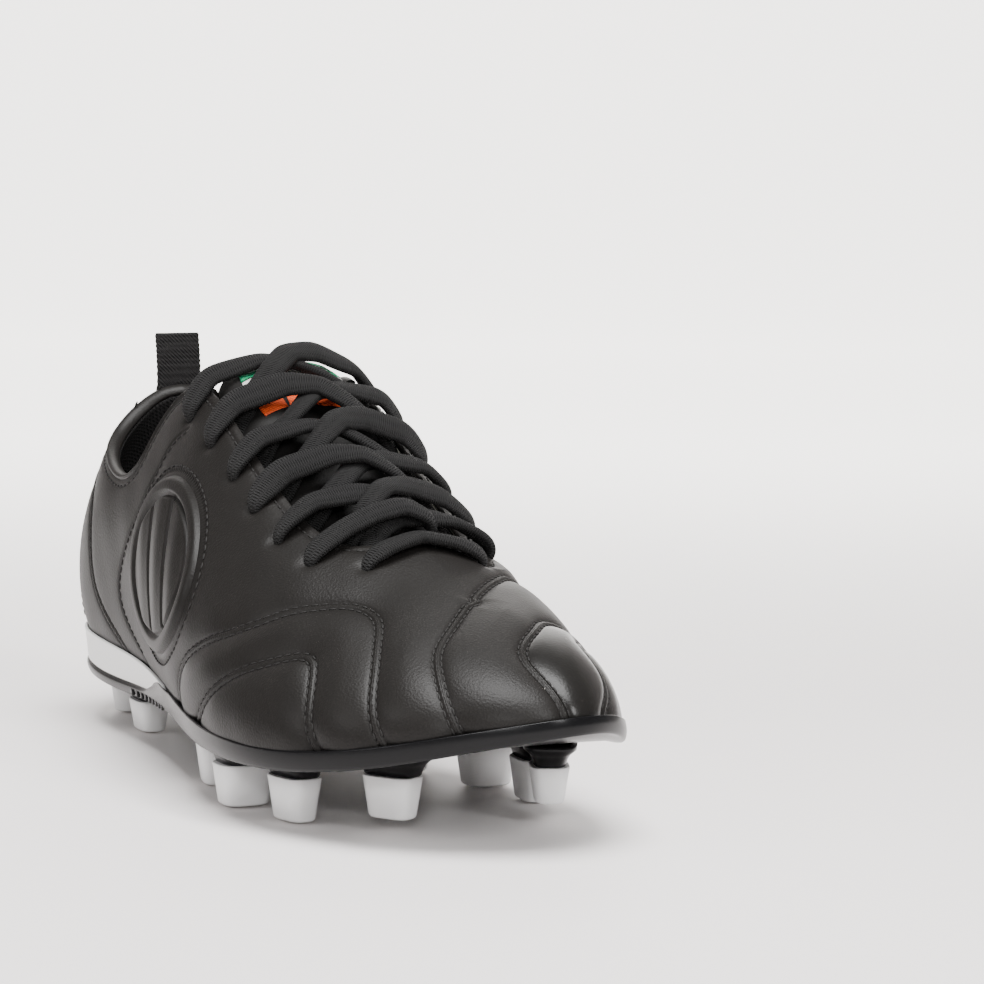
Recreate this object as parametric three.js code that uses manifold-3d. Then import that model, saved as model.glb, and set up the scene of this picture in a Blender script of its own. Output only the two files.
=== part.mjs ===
// A firm-ground soccer boot, wearer's right foot. Millimetres, +X to the toe, +Z up, +Y the wearer's left.
import * as THREE from "three";
import { mergeVertices } from "three/addons/utils/BufferGeometryUtils.js";
import Module from "manifold-3d";

const wasm = await Module();
wasm.setup();
const { Manifold, Mesh: ManifoldMesh } = wasm;

// ---- driving dimensions -------------------------------------------------------------------
const SHIFT_X = -139.45; // the last is laid out from the heel; the origin is the middle of the part
const SHIFT_Y = 6.47;
const GAP = 0.3; // clearance between neighbouring pieces
const LEATHER = 1.4; // leather thickness
const COUNTER = [-1.9, -2.8]; // stiffener layer, measured inwards from the outer surface
const LINING = [-3.2, -4.2];
const TONGUE = [-6.4, -9.2];
const SEAM = 0.36; // width of the cut between two sewn panels
const EYELET_R = 2.5;
const LACE = { width: 7.0, thick: 1.6 };
const BEAD_R = 1.5; // topline binding
const WEDGE = 6.8; // heel wedge height at the heel
const PLATE = 5.0; // outsole plate thickness
const PEDESTAL = 3.0; // moulded base over each bladed stud

// One row per station: t along the sole edge (0 heel, 1 toe), sole edge point, lower handle, upper handle.
const LATERAL = [
  [0.0, [1, 0, 26], [-12, 0, 54], [16, 0, 110]],
  [0.1, [6, -21, 26], [-4, -31, 55], [18, -12, 111]],
  [0.2, [32, -33, 25], [27, -45, 56], [37, -24, 114]],
  [0.32, [75, -35, 23], [72, -48, 56], [75, -31, 115]],
  [0.44, [117, -41, 21], [114, -54, 55], [112, -34, 112]],
  [0.56, [158, -50, 20], [154, -60, 49], [148, -31, 95]],
  [0.68, [197, -55, 20], [193, -63, 42], [182, -27, 77]],
  [0.78, [228, -50, 21], [224, -57, 38], [209, -26, 65]],
  [0.87, [254, -36, 25], [252, -43, 41], [231, -21, 58]],
  [0.94, [270, -18, 30], [270, -24, 44], [247, -10, 55]],
  [1.0, [279, 5, 34], [279, 2, 46], [251, 5, 54]],
];
const MEDIAL = [
  [0.94, [272, 23, 33], [273, 21, 45], [249, 19, 55]],
  [0.87, [257, 34, 28], [256, 34, 43], [235, 28, 58]],
  [0.78, [231, 41, 24], [229, 42, 41], [213, 32, 65]],
  [0.68, [198, 41, 22], [194, 45, 45], [185, 31, 76]],
  [0.56, [158, 32, 23], [155, 42, 52], [149, 33, 94]],
  [0.44, [119, 27, 23], [115, 40, 58], [113, 38, 113]],
  [0.32, [76, 28, 24], [73, 39, 58], [75, 38, 117]],
  [0.2, [33, 29, 25], [29, 38, 57], [37, 30, 116]],
  [0.1, [8, 18, 26], [-1, 25, 56], [19, 14, 112]],
];
const RIDGE = [
  [0.0, [34, 0, 122]], [0.15, [56, 0, 127]], [0.35, [95, 0, 122]], [0.55, [135, 0, 106]],
  [0.75, [174, 0, 83]], [0.9, [206, 2, 68]], [1.0, [228, 4, 61]],
];

// ---- the last: ribs from the sole edge up to the ridge -------------------------------------
function solve(a, b) {
  const n = a.length;
  for (let i = 0; i < n; i++) {
    let p = i;
    for (let j = i + 1; j < n; j++) if (Math.abs(a[j][i]) > Math.abs(a[p][i])) p = j;
    [a[i], a[p]] = [a[p], a[i]];
    [b[i], b[p]] = [b[p], b[i]];
    for (let j = i + 1; j < n; j++) {
      const f = a[j][i] / a[i][i];
      if (!f) continue;
      for (let k = i; k < n; k++) a[j][k] -= f * a[i][k];
      b[j].addScaledVector(b[i], -f);
    }
  }
  for (let i = n - 1; i >= 0; i--) {
    for (let k = i + 1; k < n; k++) b[i].addScaledVector(b[k], -a[i][k]);
    b[i].divideScalar(a[i][i]);
  }
  return b;
}

// A smooth curve through knots; the closed one ends where it starts.
function spline(xs, pts, closed = false) {
  const n = xs.length, m = closed ? n - 1 : n;
  const h = xs.slice(1).map((x, i) => x - xs[i]);
  const d = h.map((w, i) => pts[i + 1].clone().sub(pts[i]).divideScalar(w));
  const a = Array.from({ length: m }, () => new Array(m).fill(0)), b = [];
  for (let i = 0; i < m; i++) {
    const end = !closed && (i === 0 || i === n - 1);
    if (end) {
      a[i][i] = 2;
      a[i][i === 0 ? 1 : n - 2] = 1;
      b.push(d[i === 0 ? 0 : n - 2].clone().multiplyScalar(3));
      continue;
    }
    const p = (i - 1 + h.length) % h.length;
    a[i][(i - 1 + m) % m] += h[i];
    a[i][i] += 2 * (h[p] + h[i]);
    a[i][(i + 1) % m] += h[p];
    b.push(d[p].clone().multiplyScalar(3 * h[i]).addScaledVector(d[i], 3 * h[p]));
  }
  const k = solve(a, b);
  if (closed) k.push(k[0]);
  return (x) => {
    if (closed) x = x - Math.floor(x);
    let i = n - 2;
    while (i > 0 && x < xs[i]) i--;
    const t = (x - xs[i]) / h[i];
    return new THREE.Vector3()
      .addScaledVector(pts[i], 2 * t ** 3 - 3 * t * t + 1)
      .addScaledVector(k[i], (t ** 3 - 2 * t * t + t) * h[i])
      .addScaledVector(pts[i + 1], -2 * t ** 3 + 3 * t * t)
      .addScaledVector(k[i + 1], (t ** 3 - t * t) * h[i]);
  };
}

const vec = (p) => new THREE.Vector3(...p);
const stations = [...LATERAL.map((r) => [r[0] / 2, ...r.slice(1)]), ...MEDIAL.map((r) => [1 - r[0] / 2, ...r.slice(1)])];
stations.push([1, ...LATERAL[0].slice(1)]);
const loops = [1, 2, 3].map((j) => spline(stations.map((r) => r[0]), stations.map((r) => vec(r[j])), true));
const ridge = spline(RIDGE.map((r) => r[0]), RIDGE.map((r) => vec(r[1])));

// s runs round the sole edge: 0 heel, 0.25 wearer's right, 0.5 toe, 0.75 wearer's left. v runs up to the ridge.
function last(s, v) {
  const w = 1 - v;
  return loops[0](s).multiplyScalar(w ** 3)
    .addScaledVector(loops[1](s), 3 * w * w * v)
    .addScaledVector(loops[2](s), 3 * w * v * v)
    .addScaledVector(ridge(Math.sin(Math.PI * s) ** 2), v ** 3);
}
function slopeNormal(s, v) {
  const e = 1e-3;
  const ds = last(s + e, v).sub(last(s - e, v)), dv = last(s, v + e).sub(last(s, v - e));
  return ds.cross(dv).normalize();
}
function normal(s, v) {
  if (v < 0.98) return slopeNormal(s, v);
  return slopeNormal(s, 0.98).add(slopeNormal(1 - s, 0.98)).normalize();
}
const on = (s, v, h = 0) => last(s, v).addScaledVector(normal(s, v), h);
// The same with t and a side: -1 is the wearer's right, +1 the wearer's left.
const sOf = (t, side) => (side < 0 ? t / 2 : 1 - t / 2);
const at = (t, side, v, h = 0) => on(sOf(t, side), v, h);

// ---- closed solids -------------------------------------------------------------------------
function solidOf(points, faces) {
  const flat = new Float32Array(points.flatMap((p) => [p.x, p.y, p.z]));
  let g = new THREE.BufferGeometry();
  g.setAttribute("position", new THREE.BufferAttribute(flat, 3));
  g.setIndex(faces);
  g = mergeVertices(g, 2e-3);
  const idx = [], q = g.index.array;
  for (let i = 0; i < q.length; i += 3)
    if (q[i] !== q[i + 1] && q[i + 1] !== q[i + 2] && q[i] !== q[i + 2]) idx.push(q[i], q[i + 1], q[i + 2]);
  const m = new Manifold(new ManifoldMesh({
    numProp: 3, vertProperties: g.attributes.position.array, triVerts: new Uint32Array(idx),
  }));
  return m.volume() < 0 ? solidOf(points, faces.slice().reverse()) : m;
}

// Rings of equal length joined in order, with a flat fan on each end unless the rings close up.
function skin(rings, closed = false) {
  const n = rings[0].length, points = rings.flat(), faces = [];
  const rows = closed ? rings.length : rings.length - 1;
  for (let i = 0; i < rows; i++)
    for (let j = 0; j < n; j++) {
      const a = i * n + j, b = i * n + ((j + 1) % n);
      const c = ((i + 1) % rings.length) * n + j, d = ((i + 1) % rings.length) * n + ((j + 1) % n);
      faces.push(a, b, d, a, d, c);
    }
  if (!closed)
    [0, rings.length - 1].forEach((r, end) => {
      const c = rings[r].reduce((p, q) => p.add(q), new THREE.Vector3()).divideScalar(n);
      const k = points.push(c) - 1;
      for (let j = 0; j < n; j++) {
        const a = r * n + j, b = r * n + ((j + 1) % n);
        if (end) faces.push(a, b, k);
        else faces.push(b, a, k);
      }
    });
  return solidOf(points, faces);
}

// A sheet between two surfaces given as grids of the same size, walled on all four sides.
function sheet(top, low) {
  const rows = top.length;
  const rings = [];
  for (let i = 0; i < rows; i++) rings.push([...top[i], ...low[i].slice().reverse()]);
  return capped(rings, top[0].length);
}
function capped(rings, half) {
  const n = rings[0].length, points = rings.flat(), faces = [];
  for (let i = 0; i < rings.length - 1; i++)
    for (let j = 0; j < n; j++) {
      const a = i * n + j, b = i * n + ((j + 1) % n), c = a + n, d = b + n;
      faces.push(a, b, d, a, d, c);
    }
  [0, rings.length - 1].forEach((r, end) => {
    for (let j = 0; j < half - 1; j++) {
      const a = r * n + j, b = a + 1, c = r * n + n - 1 - j, d = c - 1;
      faces.push(...(end ? [a, b, d, a, d, c] : [a, d, b, a, c, d]));
    }
  });
  return solidOf(points, faces);
}

// The whole last as a shell between two offsets, open underneath.
const DOME_T = [
  0, 0.035, 0.07, 0.11, 0.16, 0.22, 0.29, 0.37, 0.45, 0.53, 0.61, 0.68, 0.74, 0.8, 0.85, 0.89, 0.925, 0.96,
];
const DOME_V = 10;
const DOME_S = [...DOME_T.map((t) => t / 2), 0.5, ...DOME_T.slice(1).reverse().map((t) => 1 - t / 2)];
function dome(outer, inner, nv = DOME_V) {
  const points = [], faces = [], ns = DOME_S.length;
  for (const h of [outer, inner])
    for (let i = 0; i < ns; i++)
      for (let j = 0; j <= nv; j++) points.push(on(DOME_S[i], j / nv, h));
  const id = (k, i, j) => (k * ns + (i % ns)) * (nv + 1) + j;
  for (let i = 0; i < ns; i++) {
    for (let j = 0; j < nv; j++) {
      const q = [id(0, i, j), id(0, i + 1, j), id(0, i + 1, j + 1), id(0, i, j + 1)];
      const r = [id(1, i, j), id(1, i, j + 1), id(1, i + 1, j + 1), id(1, i + 1, j)];
      for (const f of [q, r]) faces.push(f[0], f[1], f[2], f[0], f[2], f[3]);
    }
    const a = id(0, i, 0), b = id(0, i + 1, 0), c = id(1, i + 1, 0), d = id(1, i, 0);
    faces.push(a, d, c, a, c, b);
  }
  return solidOf(points, faces);
}

// A curve on the last through [t, v] knots of one side, or [s, v] when side is 0.
function route(knots, side, steps) {
  const xs = knots.map((_, i) => i / (knots.length - 1));
  const f = spline(xs, knots.map(([t, v]) => new THREE.Vector3(side ? sOf(t, side) : t, v, 0)));
  return Array.from({ length: steps + 1 }, (_, i) => f(i / steps)).map((p) => [p.x, p.y]);
}

// A thin blade standing on a curve of the last, to cut a shell along it.
function knife(curve, width, outer, inner, closed = false) {
  const n = curve.length;
  const base = curve.map(([s, v]) => ({ p: last(s, v), n: normal(s, v) }));
  const rings = base.map(({ p, n: up }, i) => {
    const a = base[closed ? (i - 1 + n) % n : Math.max(i - 1, 0)].p;
    const b = base[closed ? (i + 1) % n : Math.min(i + 1, n - 1)].p;
    const side = b.clone().sub(a).normalize().cross(up).normalize().multiplyScalar(width / 2);
    return [[1, outer], [-1, outer], [-1, inner], [1, inner]]
      .map(([k, h]) => p.clone().addScaledVector(up, h).addScaledVector(side, k));
  });
  return skin(rings, closed);
}

// ---- lines on the upper ----------------------------------------------------------------------
const TOPLINE = [
  [0, 0.7], [0.05, 0.685], [0.1, 0.63], [0.15, 0.555], [0.2, 0.5], [0.25, 0.465], [0.29, 0.465],
  [0.318, 0.51], [0.332, 0.58], [0.348, 0.66], [0.375, 0.725], [0.41, 0.745],
];
const THROAT = [[0.46, 0.74], [0.53, 0.73], [0.6, 0.73], [0.66, 0.745], [0.7, 0.785], [0.724, 0.85], [0.737, 0.93]];
const EYELETS = [
  [0.756, 0.79], [0.7, 0.665], [0.645, 0.635], [0.59, 0.635], [0.535, 0.64], [0.475, 0.645], [0.41, 0.655],
];
const HEEL_SEAM = [[0.105, 0.7], [0.1, 0.6], [0.118, 0.5], [0.2, 0.37], [0.236, 0.19], [0.285, 0.07], [0.34, -0.05]];
const BACKSTAY = [[0.045, 0.76], [0.05, 0.6], [0.07, 0.45], [0.1, 0.3], [0.15, 0.12], [0.19, -0.05]];
const MEDIAL_SEAM = [[0.5, -0.05], [0.52, 0.1], [0.58, 0.33], [0.64, 0.52], [0.7, 0.67], [0.738, 0.74], [0.74, 0.84], [0.722, 0.9]];
const LOOP_A = [
  [0.525, -0.05], [0.56, 0.16], [0.66, 0.36], [0.714, 0.5], [0.753, 0.6], [0.79, 0.67],
  [0.828, 0.67], [0.852, 0.57], [0.867, 0.41], [0.873, 0.19], [0.88, -0.05],
];
const LOOP_B = [
  [0.58, -0.05], [0.655, 0.16], [0.706, 0.29], [0.747, 0.38], [0.774, 0.43], [0.794, 0.41],
  [0.806, 0.29], [0.81, 0.16], [0.818, -0.05],
];
// The medial loops start at the medial sole edge, cross the ridge and come down at the toe: [s, v].
const LOOP_C = [
  [0.712, -0.05], [0.683, 0.2], [0.655, 0.42], [0.628, 0.66], [0.607, 0.779], [0.591, 0.846], [0.571, 0.91], [0.543, 0.97], [0.505, 0.993],
  [0.476, 0.95], [0.468, 0.9], [0.465, 0.81], [0.463, 0.72], [0.461, 0.58], [0.464, 0.41], [0.467, 0.2], [0.469, -0.05],
];
const LOOP_D = [
  [0.64, -0.05], [0.622, 0.18], [0.6, 0.4], [0.573, 0.6], [0.545, 0.71], [0.515, 0.68],
  [0.5, 0.56], [0.5, 0.4], [0.503, 0.18], [0.503, -0.05],
];
const LOOP_E = [
  [0.6, -0.05], [0.594, 0.2], [0.583, 0.4], [0.57, 0.485], [0.558, 0.42], [0.5485, 0.28], [0.531, 0.1], [0.526, -0.05],
];

const half = (side, a, b, steps) => route([...a, ...b], side, steps);
// The whole rim: up one side of the collar and throat, over the ridge and back down the other side.
function rimLoop(drop, steps, throat = THROAT) {
  const low = (k) => k.map(([t, v]) => [t, v - drop]);
  const r = half(-1, low(TOPLINE), low(throat), steps);
  const l = half(1, low(TOPLINE), low(throat), steps);
  return [...r, [sOf(0.741, -1), 1], ...l.reverse().slice(0, -1)];
}

// ---- leather panels ----------------------------------------------------------------------------
const pieces = new Map();
const cutDepth = [1.4, -LEATHER - 1.2];
const seam = (curve) => knife(curve, SEAM, ...cutDepth);
function peg(t, side, v, r, outer, inner) {
  const [a, b] = [outer, inner].map((h) => at(t, side, v, h));
  const up = a.clone().sub(b).normalize();
  const x = new THREE.Vector3(1, 0, 0).cross(up).normalize(), y = up.clone().cross(x);
  const ring = (c) => Array.from({ length: 6 }, (_, i) => {
    const w = ((i + 0.5) * Math.PI) / 3;
    return c.clone().addScaledVector(x, r * Math.cos(w)).addScaledVector(y, r * Math.sin(w));
  });
  return skin([ring(a), ring(b)]);
}
const pegs = [-1, 1].flatMap((side) => EYELETS.map(([t, v]) => peg(t, side, v, EYELET_R, 2, -4)));

// Cut a shell and name each body by the piece nearest to its seed point.
function cutInto(shell, knives, seeds, h) {
  const bodies = shell.subtract(Manifold.union(knives)).decompose();
  for (const [name, s, v] of seeds) {
    const c = on(s, v, h);
    let best = null, dist = Infinity;
    for (const body of bodies) {
      const q = body.getMesh().vertProperties;
      for (let i = 0; i < q.length; i += 3) {
        const d = (q[i] - c.x) ** 2 + (q[i + 1] - c.y) ** 2 + (q[i + 2] - c.z) ** 2;
        if (d < dist) [dist, best] = [d, body];
      }
    }
    pieces.set(name, best);
  }
}

const leatherKnives = [
  knife(rimLoop(0, 34), SEAM, ...cutDepth, true),
  ...[-1, 1].flatMap((side) => [seam(route(HEEL_SEAM, side, 14)), seam(route(BACKSTAY, side, 10))]),
  seam(route(MEDIAL_SEAM, 1, 14)),
  seam(route(LOOP_A, -1, 24)), seam(route(LOOP_B, -1, 20)),
  seam(route(LOOP_C, 0, 26)), seam(route(LOOP_D, 0, 22)), seam(route(LOOP_E, 0, 14)),
];
cutInto(dome(0, -LEATHER), [...leatherKnives, ...pegs], [
  ["vamp_quarter_lateral", 0.2, 0.4], ["quarter_medial", 0.8, 0.4],
  ["vamp_lateral_inner", 0.35, 0.3], ["vamp_lateral_outer", 0.37, 0.15],
  ["vamp_medial_rear", 0.64, 0.3], ["vamp_medial_front", 0.59, 0.3], ["toe_medial", 0.56, 0.15],
  ["heel_panel_lateral", 0.075, 0.3], ["heel_panel_medial", 0.925, 0.3], ["backstay", 0.0, 0.4],
], -LEATHER / 2);

// ---- binding, stiffeners, lining -----------------------------------------------------------------
const circle = (c, x, y, rx, ry, n) => Array.from({ length: n }, (_, i) => {
  const a = ((i + 0.5) * 2 * Math.PI) / n;
  return c.clone().addScaledVector(x, rx * Math.cos(a)).addScaledVector(y, ry * Math.sin(a));
});
// A cord of elliptical section along points, each with a width direction and a section size.
function sweep(path, n) {
  return skin(path.map((q, i) => {
    const a = path[Math.max(i - 1, 0)].p, b = path[Math.min(i + 1, path.length - 1)].p;
    const dir = b.clone().sub(a).normalize();
    const x = q.wide.clone().addScaledVector(dir, -q.wide.dot(dir)).normalize();
    return circle(q.p, x, dir.clone().cross(x), q.w / 2, q.h / 2, n);
  }));
}
const smooth = (a, b, x) => {
  const t = Math.min(Math.max((x - a) / (b - a), 0), 1);
  return t * t * (3 - 2 * t);
};

const beadLine = [
  ...route(TOPLINE, -1, 18).reverse(), ...route(TOPLINE, 1, 18).slice(1),
];
const bead = beadLine.map(([s, v], i) => {
  const a = beadLine[Math.max(i - 1, 0)], b = beadLine[Math.min(i + 1, beadLine.length - 1)];
  const dir = last(...b).sub(last(...a)).normalize(), up = normal(s, v);
  const rise = up.clone().cross(dir).normalize();
  if (rise.z < 0) rise.negate();
  const p = last(s, v).addScaledVector(up, -1.7).addScaledVector(rise, SEAM / 2 + GAP + BEAD_R);
  return { p, wide: up, w: 2 * BEAD_R, h: 2 * BEAD_R };
});
pieces.set("collar_binding", sweep(bead, 7));

const grid = (us, vs, f) => us.map((u) => vs.map((v) => f(u, v)));
const span = (a, b, n) => Array.from({ length: n + 1 }, (_, i) => a + ((b - a) * i) / n);
const layer = (us, vs, place, [outer, inner]) => sheet(
  grid(us, vs, (u, v) => on(...place(u, v), outer)), grid(us, vs, (u, v) => on(...place(u, v), inner)),
);
// Heel counter: a cup round the heel. Toe puff: the same round the toe.
const onDome = (s, v) => [s, v / DOME_V];
const heelS = DOME_T.filter((t) => t > 0 && t < 0.27).map((t) => t / 2);
pieces.set("heel_counter", layer([...heelS.map((s) => 1 - s).reverse(), 1, ...heelS.map((s) => 1 + s)],
  [0.4, 1, 2, 3], onDome, COUNTER));
pieces.set("toe_puff", layer(DOME_S.filter((s) => s > 0.4 && s < 0.6), [0.4, 1, 2, 3, 4], onDome, COUNTER));

const LINING_THROAT = [[0.43, 0.56], [0.5, 0.57], [0.58, 0.57], [0.65, 0.58], [0.7, 0.6], [0.74, 0.68], [0.775, 0.82]];
const liningRim = (() => {
  const top = TOPLINE.slice(0, 10).map(([t, v]) => [t, v - 0.006]);
  const one = (side) => route([...top, [0.375, 0.66], [0.395, 0.59], ...LINING_THROAT], side, 30);
  return [...one(-1), [sOf(0.785, -1), 1], ...one(1).reverse().slice(0, -1)];
})();
cutInto(dome(...LINING), [knife(liningRim, SEAM, -1.5, -6.0, true)], [["lining", 0.2, 0.3]], -3.7);

// Eyelet stays: a strip under each row of eyelets.
for (const [side, name] of [[-1, "eyestay_lateral"], [1, "eyestay_medial"]]) {
  const ts = [0.415, 0.45, 0.475, 0.505, 0.535, 0.5625, 0.59, 0.6175, 0.645, 0.6725, 0.7];
  const edge = route(THROAT.slice(0, 5), side, 40);
  const top = (t) => edge.reduce((a, b) => (Math.abs(b[0] - sOf(t, side)) < Math.abs(a[0] - sOf(t, side)) ? b : a))[1];
  const strip = layer(ts, [0, 0.33, 0.67, 1], (t, v) => {
    const hi = t < 0.46 ? 0.725 : top(t) - 0.02, lo = 0.612;
    return [sOf(t, side), lo + v * (hi - lo)];
  }, [-2.25, -2.8]);
  const holes = EYELETS.map(([t, v]) => peg(t, side, v, EYELET_R, 2, -4));
  pieces.set(name, strip.subtract(Manifold.union(holes)).decompose().sort((a, b) => b.volume() - a.volume())[0]);
}

// ---- the sole ----------------------------------------------------------------------------------------
const soleT = [
  0, 0.035, 0.07, 0.11, 0.16, 0.22, 0.29, 0.37, 0.44, 0.455, 0.47, 0.53, 0.61, 0.68, 0.74, 0.8, 0.85, 0.89,
  0.925, 0.96, 1,
];
function outward(s) {
  const d = loops[0](s + 1e-3).sub(loops[0](s - 1e-3));
  return new THREE.Vector3(d.y, -d.x, 0).normalize();
}
// A point at the sole edge, moved out from it and up.
const rim = (s, out, dz) => loops[0](s).addScaledVector(outward(s), out).add(new THREE.Vector3(0, 0, dz));
const wedgeAt = (t) => WEDGE * smooth(0.49, 0.22, t) ** 0.7;
// Points across from one edge point to the other, without the ends.
const across = (a, b, n, lift = 0) => span(0, 1, n).slice(1, -1)
  .map((k) => a.clone().lerp(b, k).add(new THREE.Vector3(0, 0, lift * 4 * k * (1 - k))));
// A cross section from one side of the sole to the other, closed: profile(s, t) lists one side's points
// from the floor corner outwards and down to the bottom corner.
function soleSection(t, profile, n, lift = [0, 0]) {
  const r = profile(sOf(t, -1), t), l = profile(sOf(t, 1), t);
  const bottom = across(r[r.length - 1], l[l.length - 1], n, lift[1]);
  const top = across(l[0], r[0], n, lift[0]);
  return [...r, ...bottom, ...l.slice().reverse(), ...top];
}
const soleBody = (ts, profile, n, lift) => skin(ts.map((t) => soleSection(t, profile, n, lift)));

const LIP = 0.035; // height of the lip round the upper, in v
const LIP_GAP = 0.75;
function wedgeProfile(s, t) {
  const w = wedgeAt(t);
  return [rim(s, LIP_GAP, -GAP), on(s, LIP, LIP_GAP), on(s, LIP, 1.6), rim(s, 2.2, -1), rim(s, 1.6, -GAP - w)];
}
const wedgeT = [0, 0.035, 0.07, 0.11, 0.16, 0.22, 0.29, 0.37, 0.42, 0.45];
pieces.set("heel_wedge", soleBody(wedgeT, wedgeProfile, 4));
function plateProfile(s, t) {
  const w = t < 0.46 ? wedgeAt(t) + GAP : 0, lip = smooth(0.46, 0.5, t);
  const floor = rim(s, LIP_GAP, -GAP - w);
  const inner = t < 0.46 ? rim(s, LIP_GAP + 0.2, -GAP - w + 0.02) : on(s, Math.max(LIP * lip, 0.001), LIP_GAP);
  const outer = t < 0.46 ? rim(s, 1.3, -GAP - w + 0.02) : on(s, Math.max(LIP * lip, 0.001), 1.5);
  return [floor, inner, outer, rim(s, 2.2, -1.2 - w), rim(s, 1.3, -3.6 - w), rim(s, -3.5, -GAP - w - PLATE)];
}
const plate = soleBody(soleT, plateProfile, 5, [0, 0.8]);

// Studs: [name, x, y, ground lift, half length, half width, blade direction in degrees]
const STUDS = [
  ["stud_front_lateral", 229, -20, 3, 8.2, 4.6, 30], ["stud_front_medial", 233, 24, 5, 8.2, 4.6, -22],
  ["stud_second_lateral", 207, -39, 0, 8.2, 4.6, 12], ["stud_second_medial", 204, 33, 0, 8.2, 4.6, -6],
  ["stud_third_lateral", 180, -43, 0, 7.2, 7.2, 0], ["stud_third_medial", 178, 31, 0, 7.2, 7.2, 0],
  ["stud_rear_lateral", 146, -38, 0, 8.0, 4.6, -14], ["stud_rear_medial", 148, 20, 0, 8.0, 4.6, 16],
  ["stud_heel_lateral", 54, -24, 0, 8.2, 4.6, -4], ["stud_heel_medial", 54, 20, 0, 8.2, 4.6, 4],
  ["stud_back_lateral", 15, -16, 0, 8.2, 4.6, -38], ["stud_back_medial", 15, 14, 0, 8.2, 4.6, 38],
];
// The underside of the plate along the shoe.
const under = spline([0, 40, 90, 130, 170, 205, 235, 279],
  [13.6, 13.0, 12.2, 14.4, 14.8, 15.0, 18.6, 28].map((z) => new THREE.Vector3(z, 0, 0)));
function stud(x, y, z0, z1, a, b, turn, flare) {
  const ring = (z, k) => Array.from({ length: 10 }, (_, i) => {
    const w = (i * Math.PI) / 5, f = (q) => Math.sign(q) * Math.abs(q) ** 0.6;
    const p = new THREE.Vector3((a + k) * f(Math.cos(w)), (b + k) * f(Math.sin(w)), 0);
    return p.applyAxisAngle(new THREE.Vector3(0, 0, 1), THREE.MathUtils.degToRad(turn)).add(new THREE.Vector3(x, y, z));
  });
  return skin([ring(z0, 0), ring(z0 + 0.5, 0.4), ring(z1, flare)]);
}
let sole = plate;
for (const [name, x, y, lift, a, b, turn] of STUDS) {
  const top = under(x).x - PEDESTAL, tip = -2.2;
  pieces.set(name, stud(x, y, lift, top - GAP, a + tip, b + tip * 0.5, turn, -tip * 0.9));
  sole = sole.add(stud(x, y, top, top + PEDESTAL + 3.2, a - 0.2, b - 0.2, turn, 1.6));
}
pieces.set("outsole_plate", sole);

// ---- inside: board and sockliner ------------------------------------------------------------------------
const boardT = [0.01, 0.04, 0.09, 0.16, 0.25, 0.35, 0.45, 0.55, 0.65, 0.74, 0.82, 0.89, 0.94, 0.98, 0.995];
const slab = (inset, low, high) => soleBody(boardT, (s) => {
  const p = rim(s, -inset - 3.5 * smooth(0.8, 1, Math.min(2 * s, 2 - 2 * s)), 0);
  return [p.clone().add(new THREE.Vector3(0, 0, high)), p.add(new THREE.Vector3(0, 0, low))];
}, 4);
pieces.set("insole_board", slab(5.0, 0.1, 1.9));
pieces.set("sockliner", slab(5.4, 2.2, 5.0));

// ---- tongue -------------------------------------------------------------------------------------------------
const tongueT = span(0.4, 0.79, 10);
const tongueHalf = (t) => 0.44 - 0.24 * smooth(0.45, 0.79, t) - 0.05 * smooth(0.46, 0.4, t);
const onTongue = (t, u) => [sOf(t, u < 0 ? -1 : 1), 1 - Math.abs(u) * tongueHalf(t)];
const tongueU = [-1, -0.75, -0.5, -0.25, -0.0001, 0.25, 0.5, 0.75, 1];
pieces.set("tongue_leather", layer(tongueT, tongueU, onTongue, [TONGUE[0], TONGUE[0] - 1.2]));
pieces.set("tongue_lining", layer(tongueT.slice(0, -1), tongueU, onTongue, [TONGUE[0] - 1.7, TONGUE[1]]));
[["tab_green", 0.405, 0.434], ["tab_white", 0.437, 0.462], ["tab_red", 0.465, 0.494]].forEach(([name, a, b]) =>
  pieces.set(name, layer([a, (a + b) / 2, b], [-0.4, -0.2, -0.0001, 0.2, 0.4], onTongue, [TONGUE[0] + 1.0, TONGUE[0] + GAP])));

// ---- heel pull tab --------------------------------------------------------------------------------------------
const strap = (path, wide, thick) => skin(path.map((p, i) => {
  const a = path[Math.max(i - 1, 0)], b = path[Math.min(i + 1, path.length - 1)];
  const dir = b.clone().sub(a).normalize(), y = new THREE.Vector3(0, 1, 0), n = y.clone().cross(dir);
  return [[-1, -1], [1, -1], [1, 1], [-1, 1]].map(([j, k]) =>
    p.clone().addScaledVector(y, (j * wide) / 2).addScaledVector(n, (k * thick) / 2));
}));
const tabFoot = last(0, 0.7), tabUp = last(0, 0.7).sub(last(0, 0.66)).normalize(), tabOut = normal(0, 0.68);
pieces.set("pull_tab_anchor", strap([
  on(0, 0.56, 1.05), on(0, 0.62, 1.05), on(0, 0.685, 1.05),
], 15, 1.4));
const tabAt = (up, out) => tabFoot.clone().addScaledVector(tabOut, 1.6 + out).add(new THREE.Vector3(0, 0, up));
const TAB_PIVOT = tabAt(0.6, 0);
pieces.set("pull_tab", strap([tabAt(0.6, 0), tabAt(5, 0.4), tabAt(10, 1.4), tabAt(14.4, 2.8)], 15, 2.6));

// ---- side pads ----------------------------------------------------------------------------------------------------
function pad(side) {
  const centre = [0.46, 0.33], along = [-0.03, 0.195], over = [0.098, 0.09];
  const ring = (k, h) => Array.from({ length: 20 }, (_, i) => {
    const w = (i * Math.PI) / 10, [a, b] = [k * Math.cos(w), k * Math.sin(w)];
    return at(centre[0] + a * along[0] + b * over[0], side, centre[1] + a * along[1] + b * over[1], h);
  });
  const low = GAP + 0.2;
  return skin([ring(0.3, low), ring(0.65, low), ring(1, low), ring(1, 1.0), ring(0.86, 2.4), ring(0.5, 3.0)]);
}
pieces.set("side_pad_lateral", pad(-1));
pieces.set("side_pad_medial", pad(1));

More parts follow.
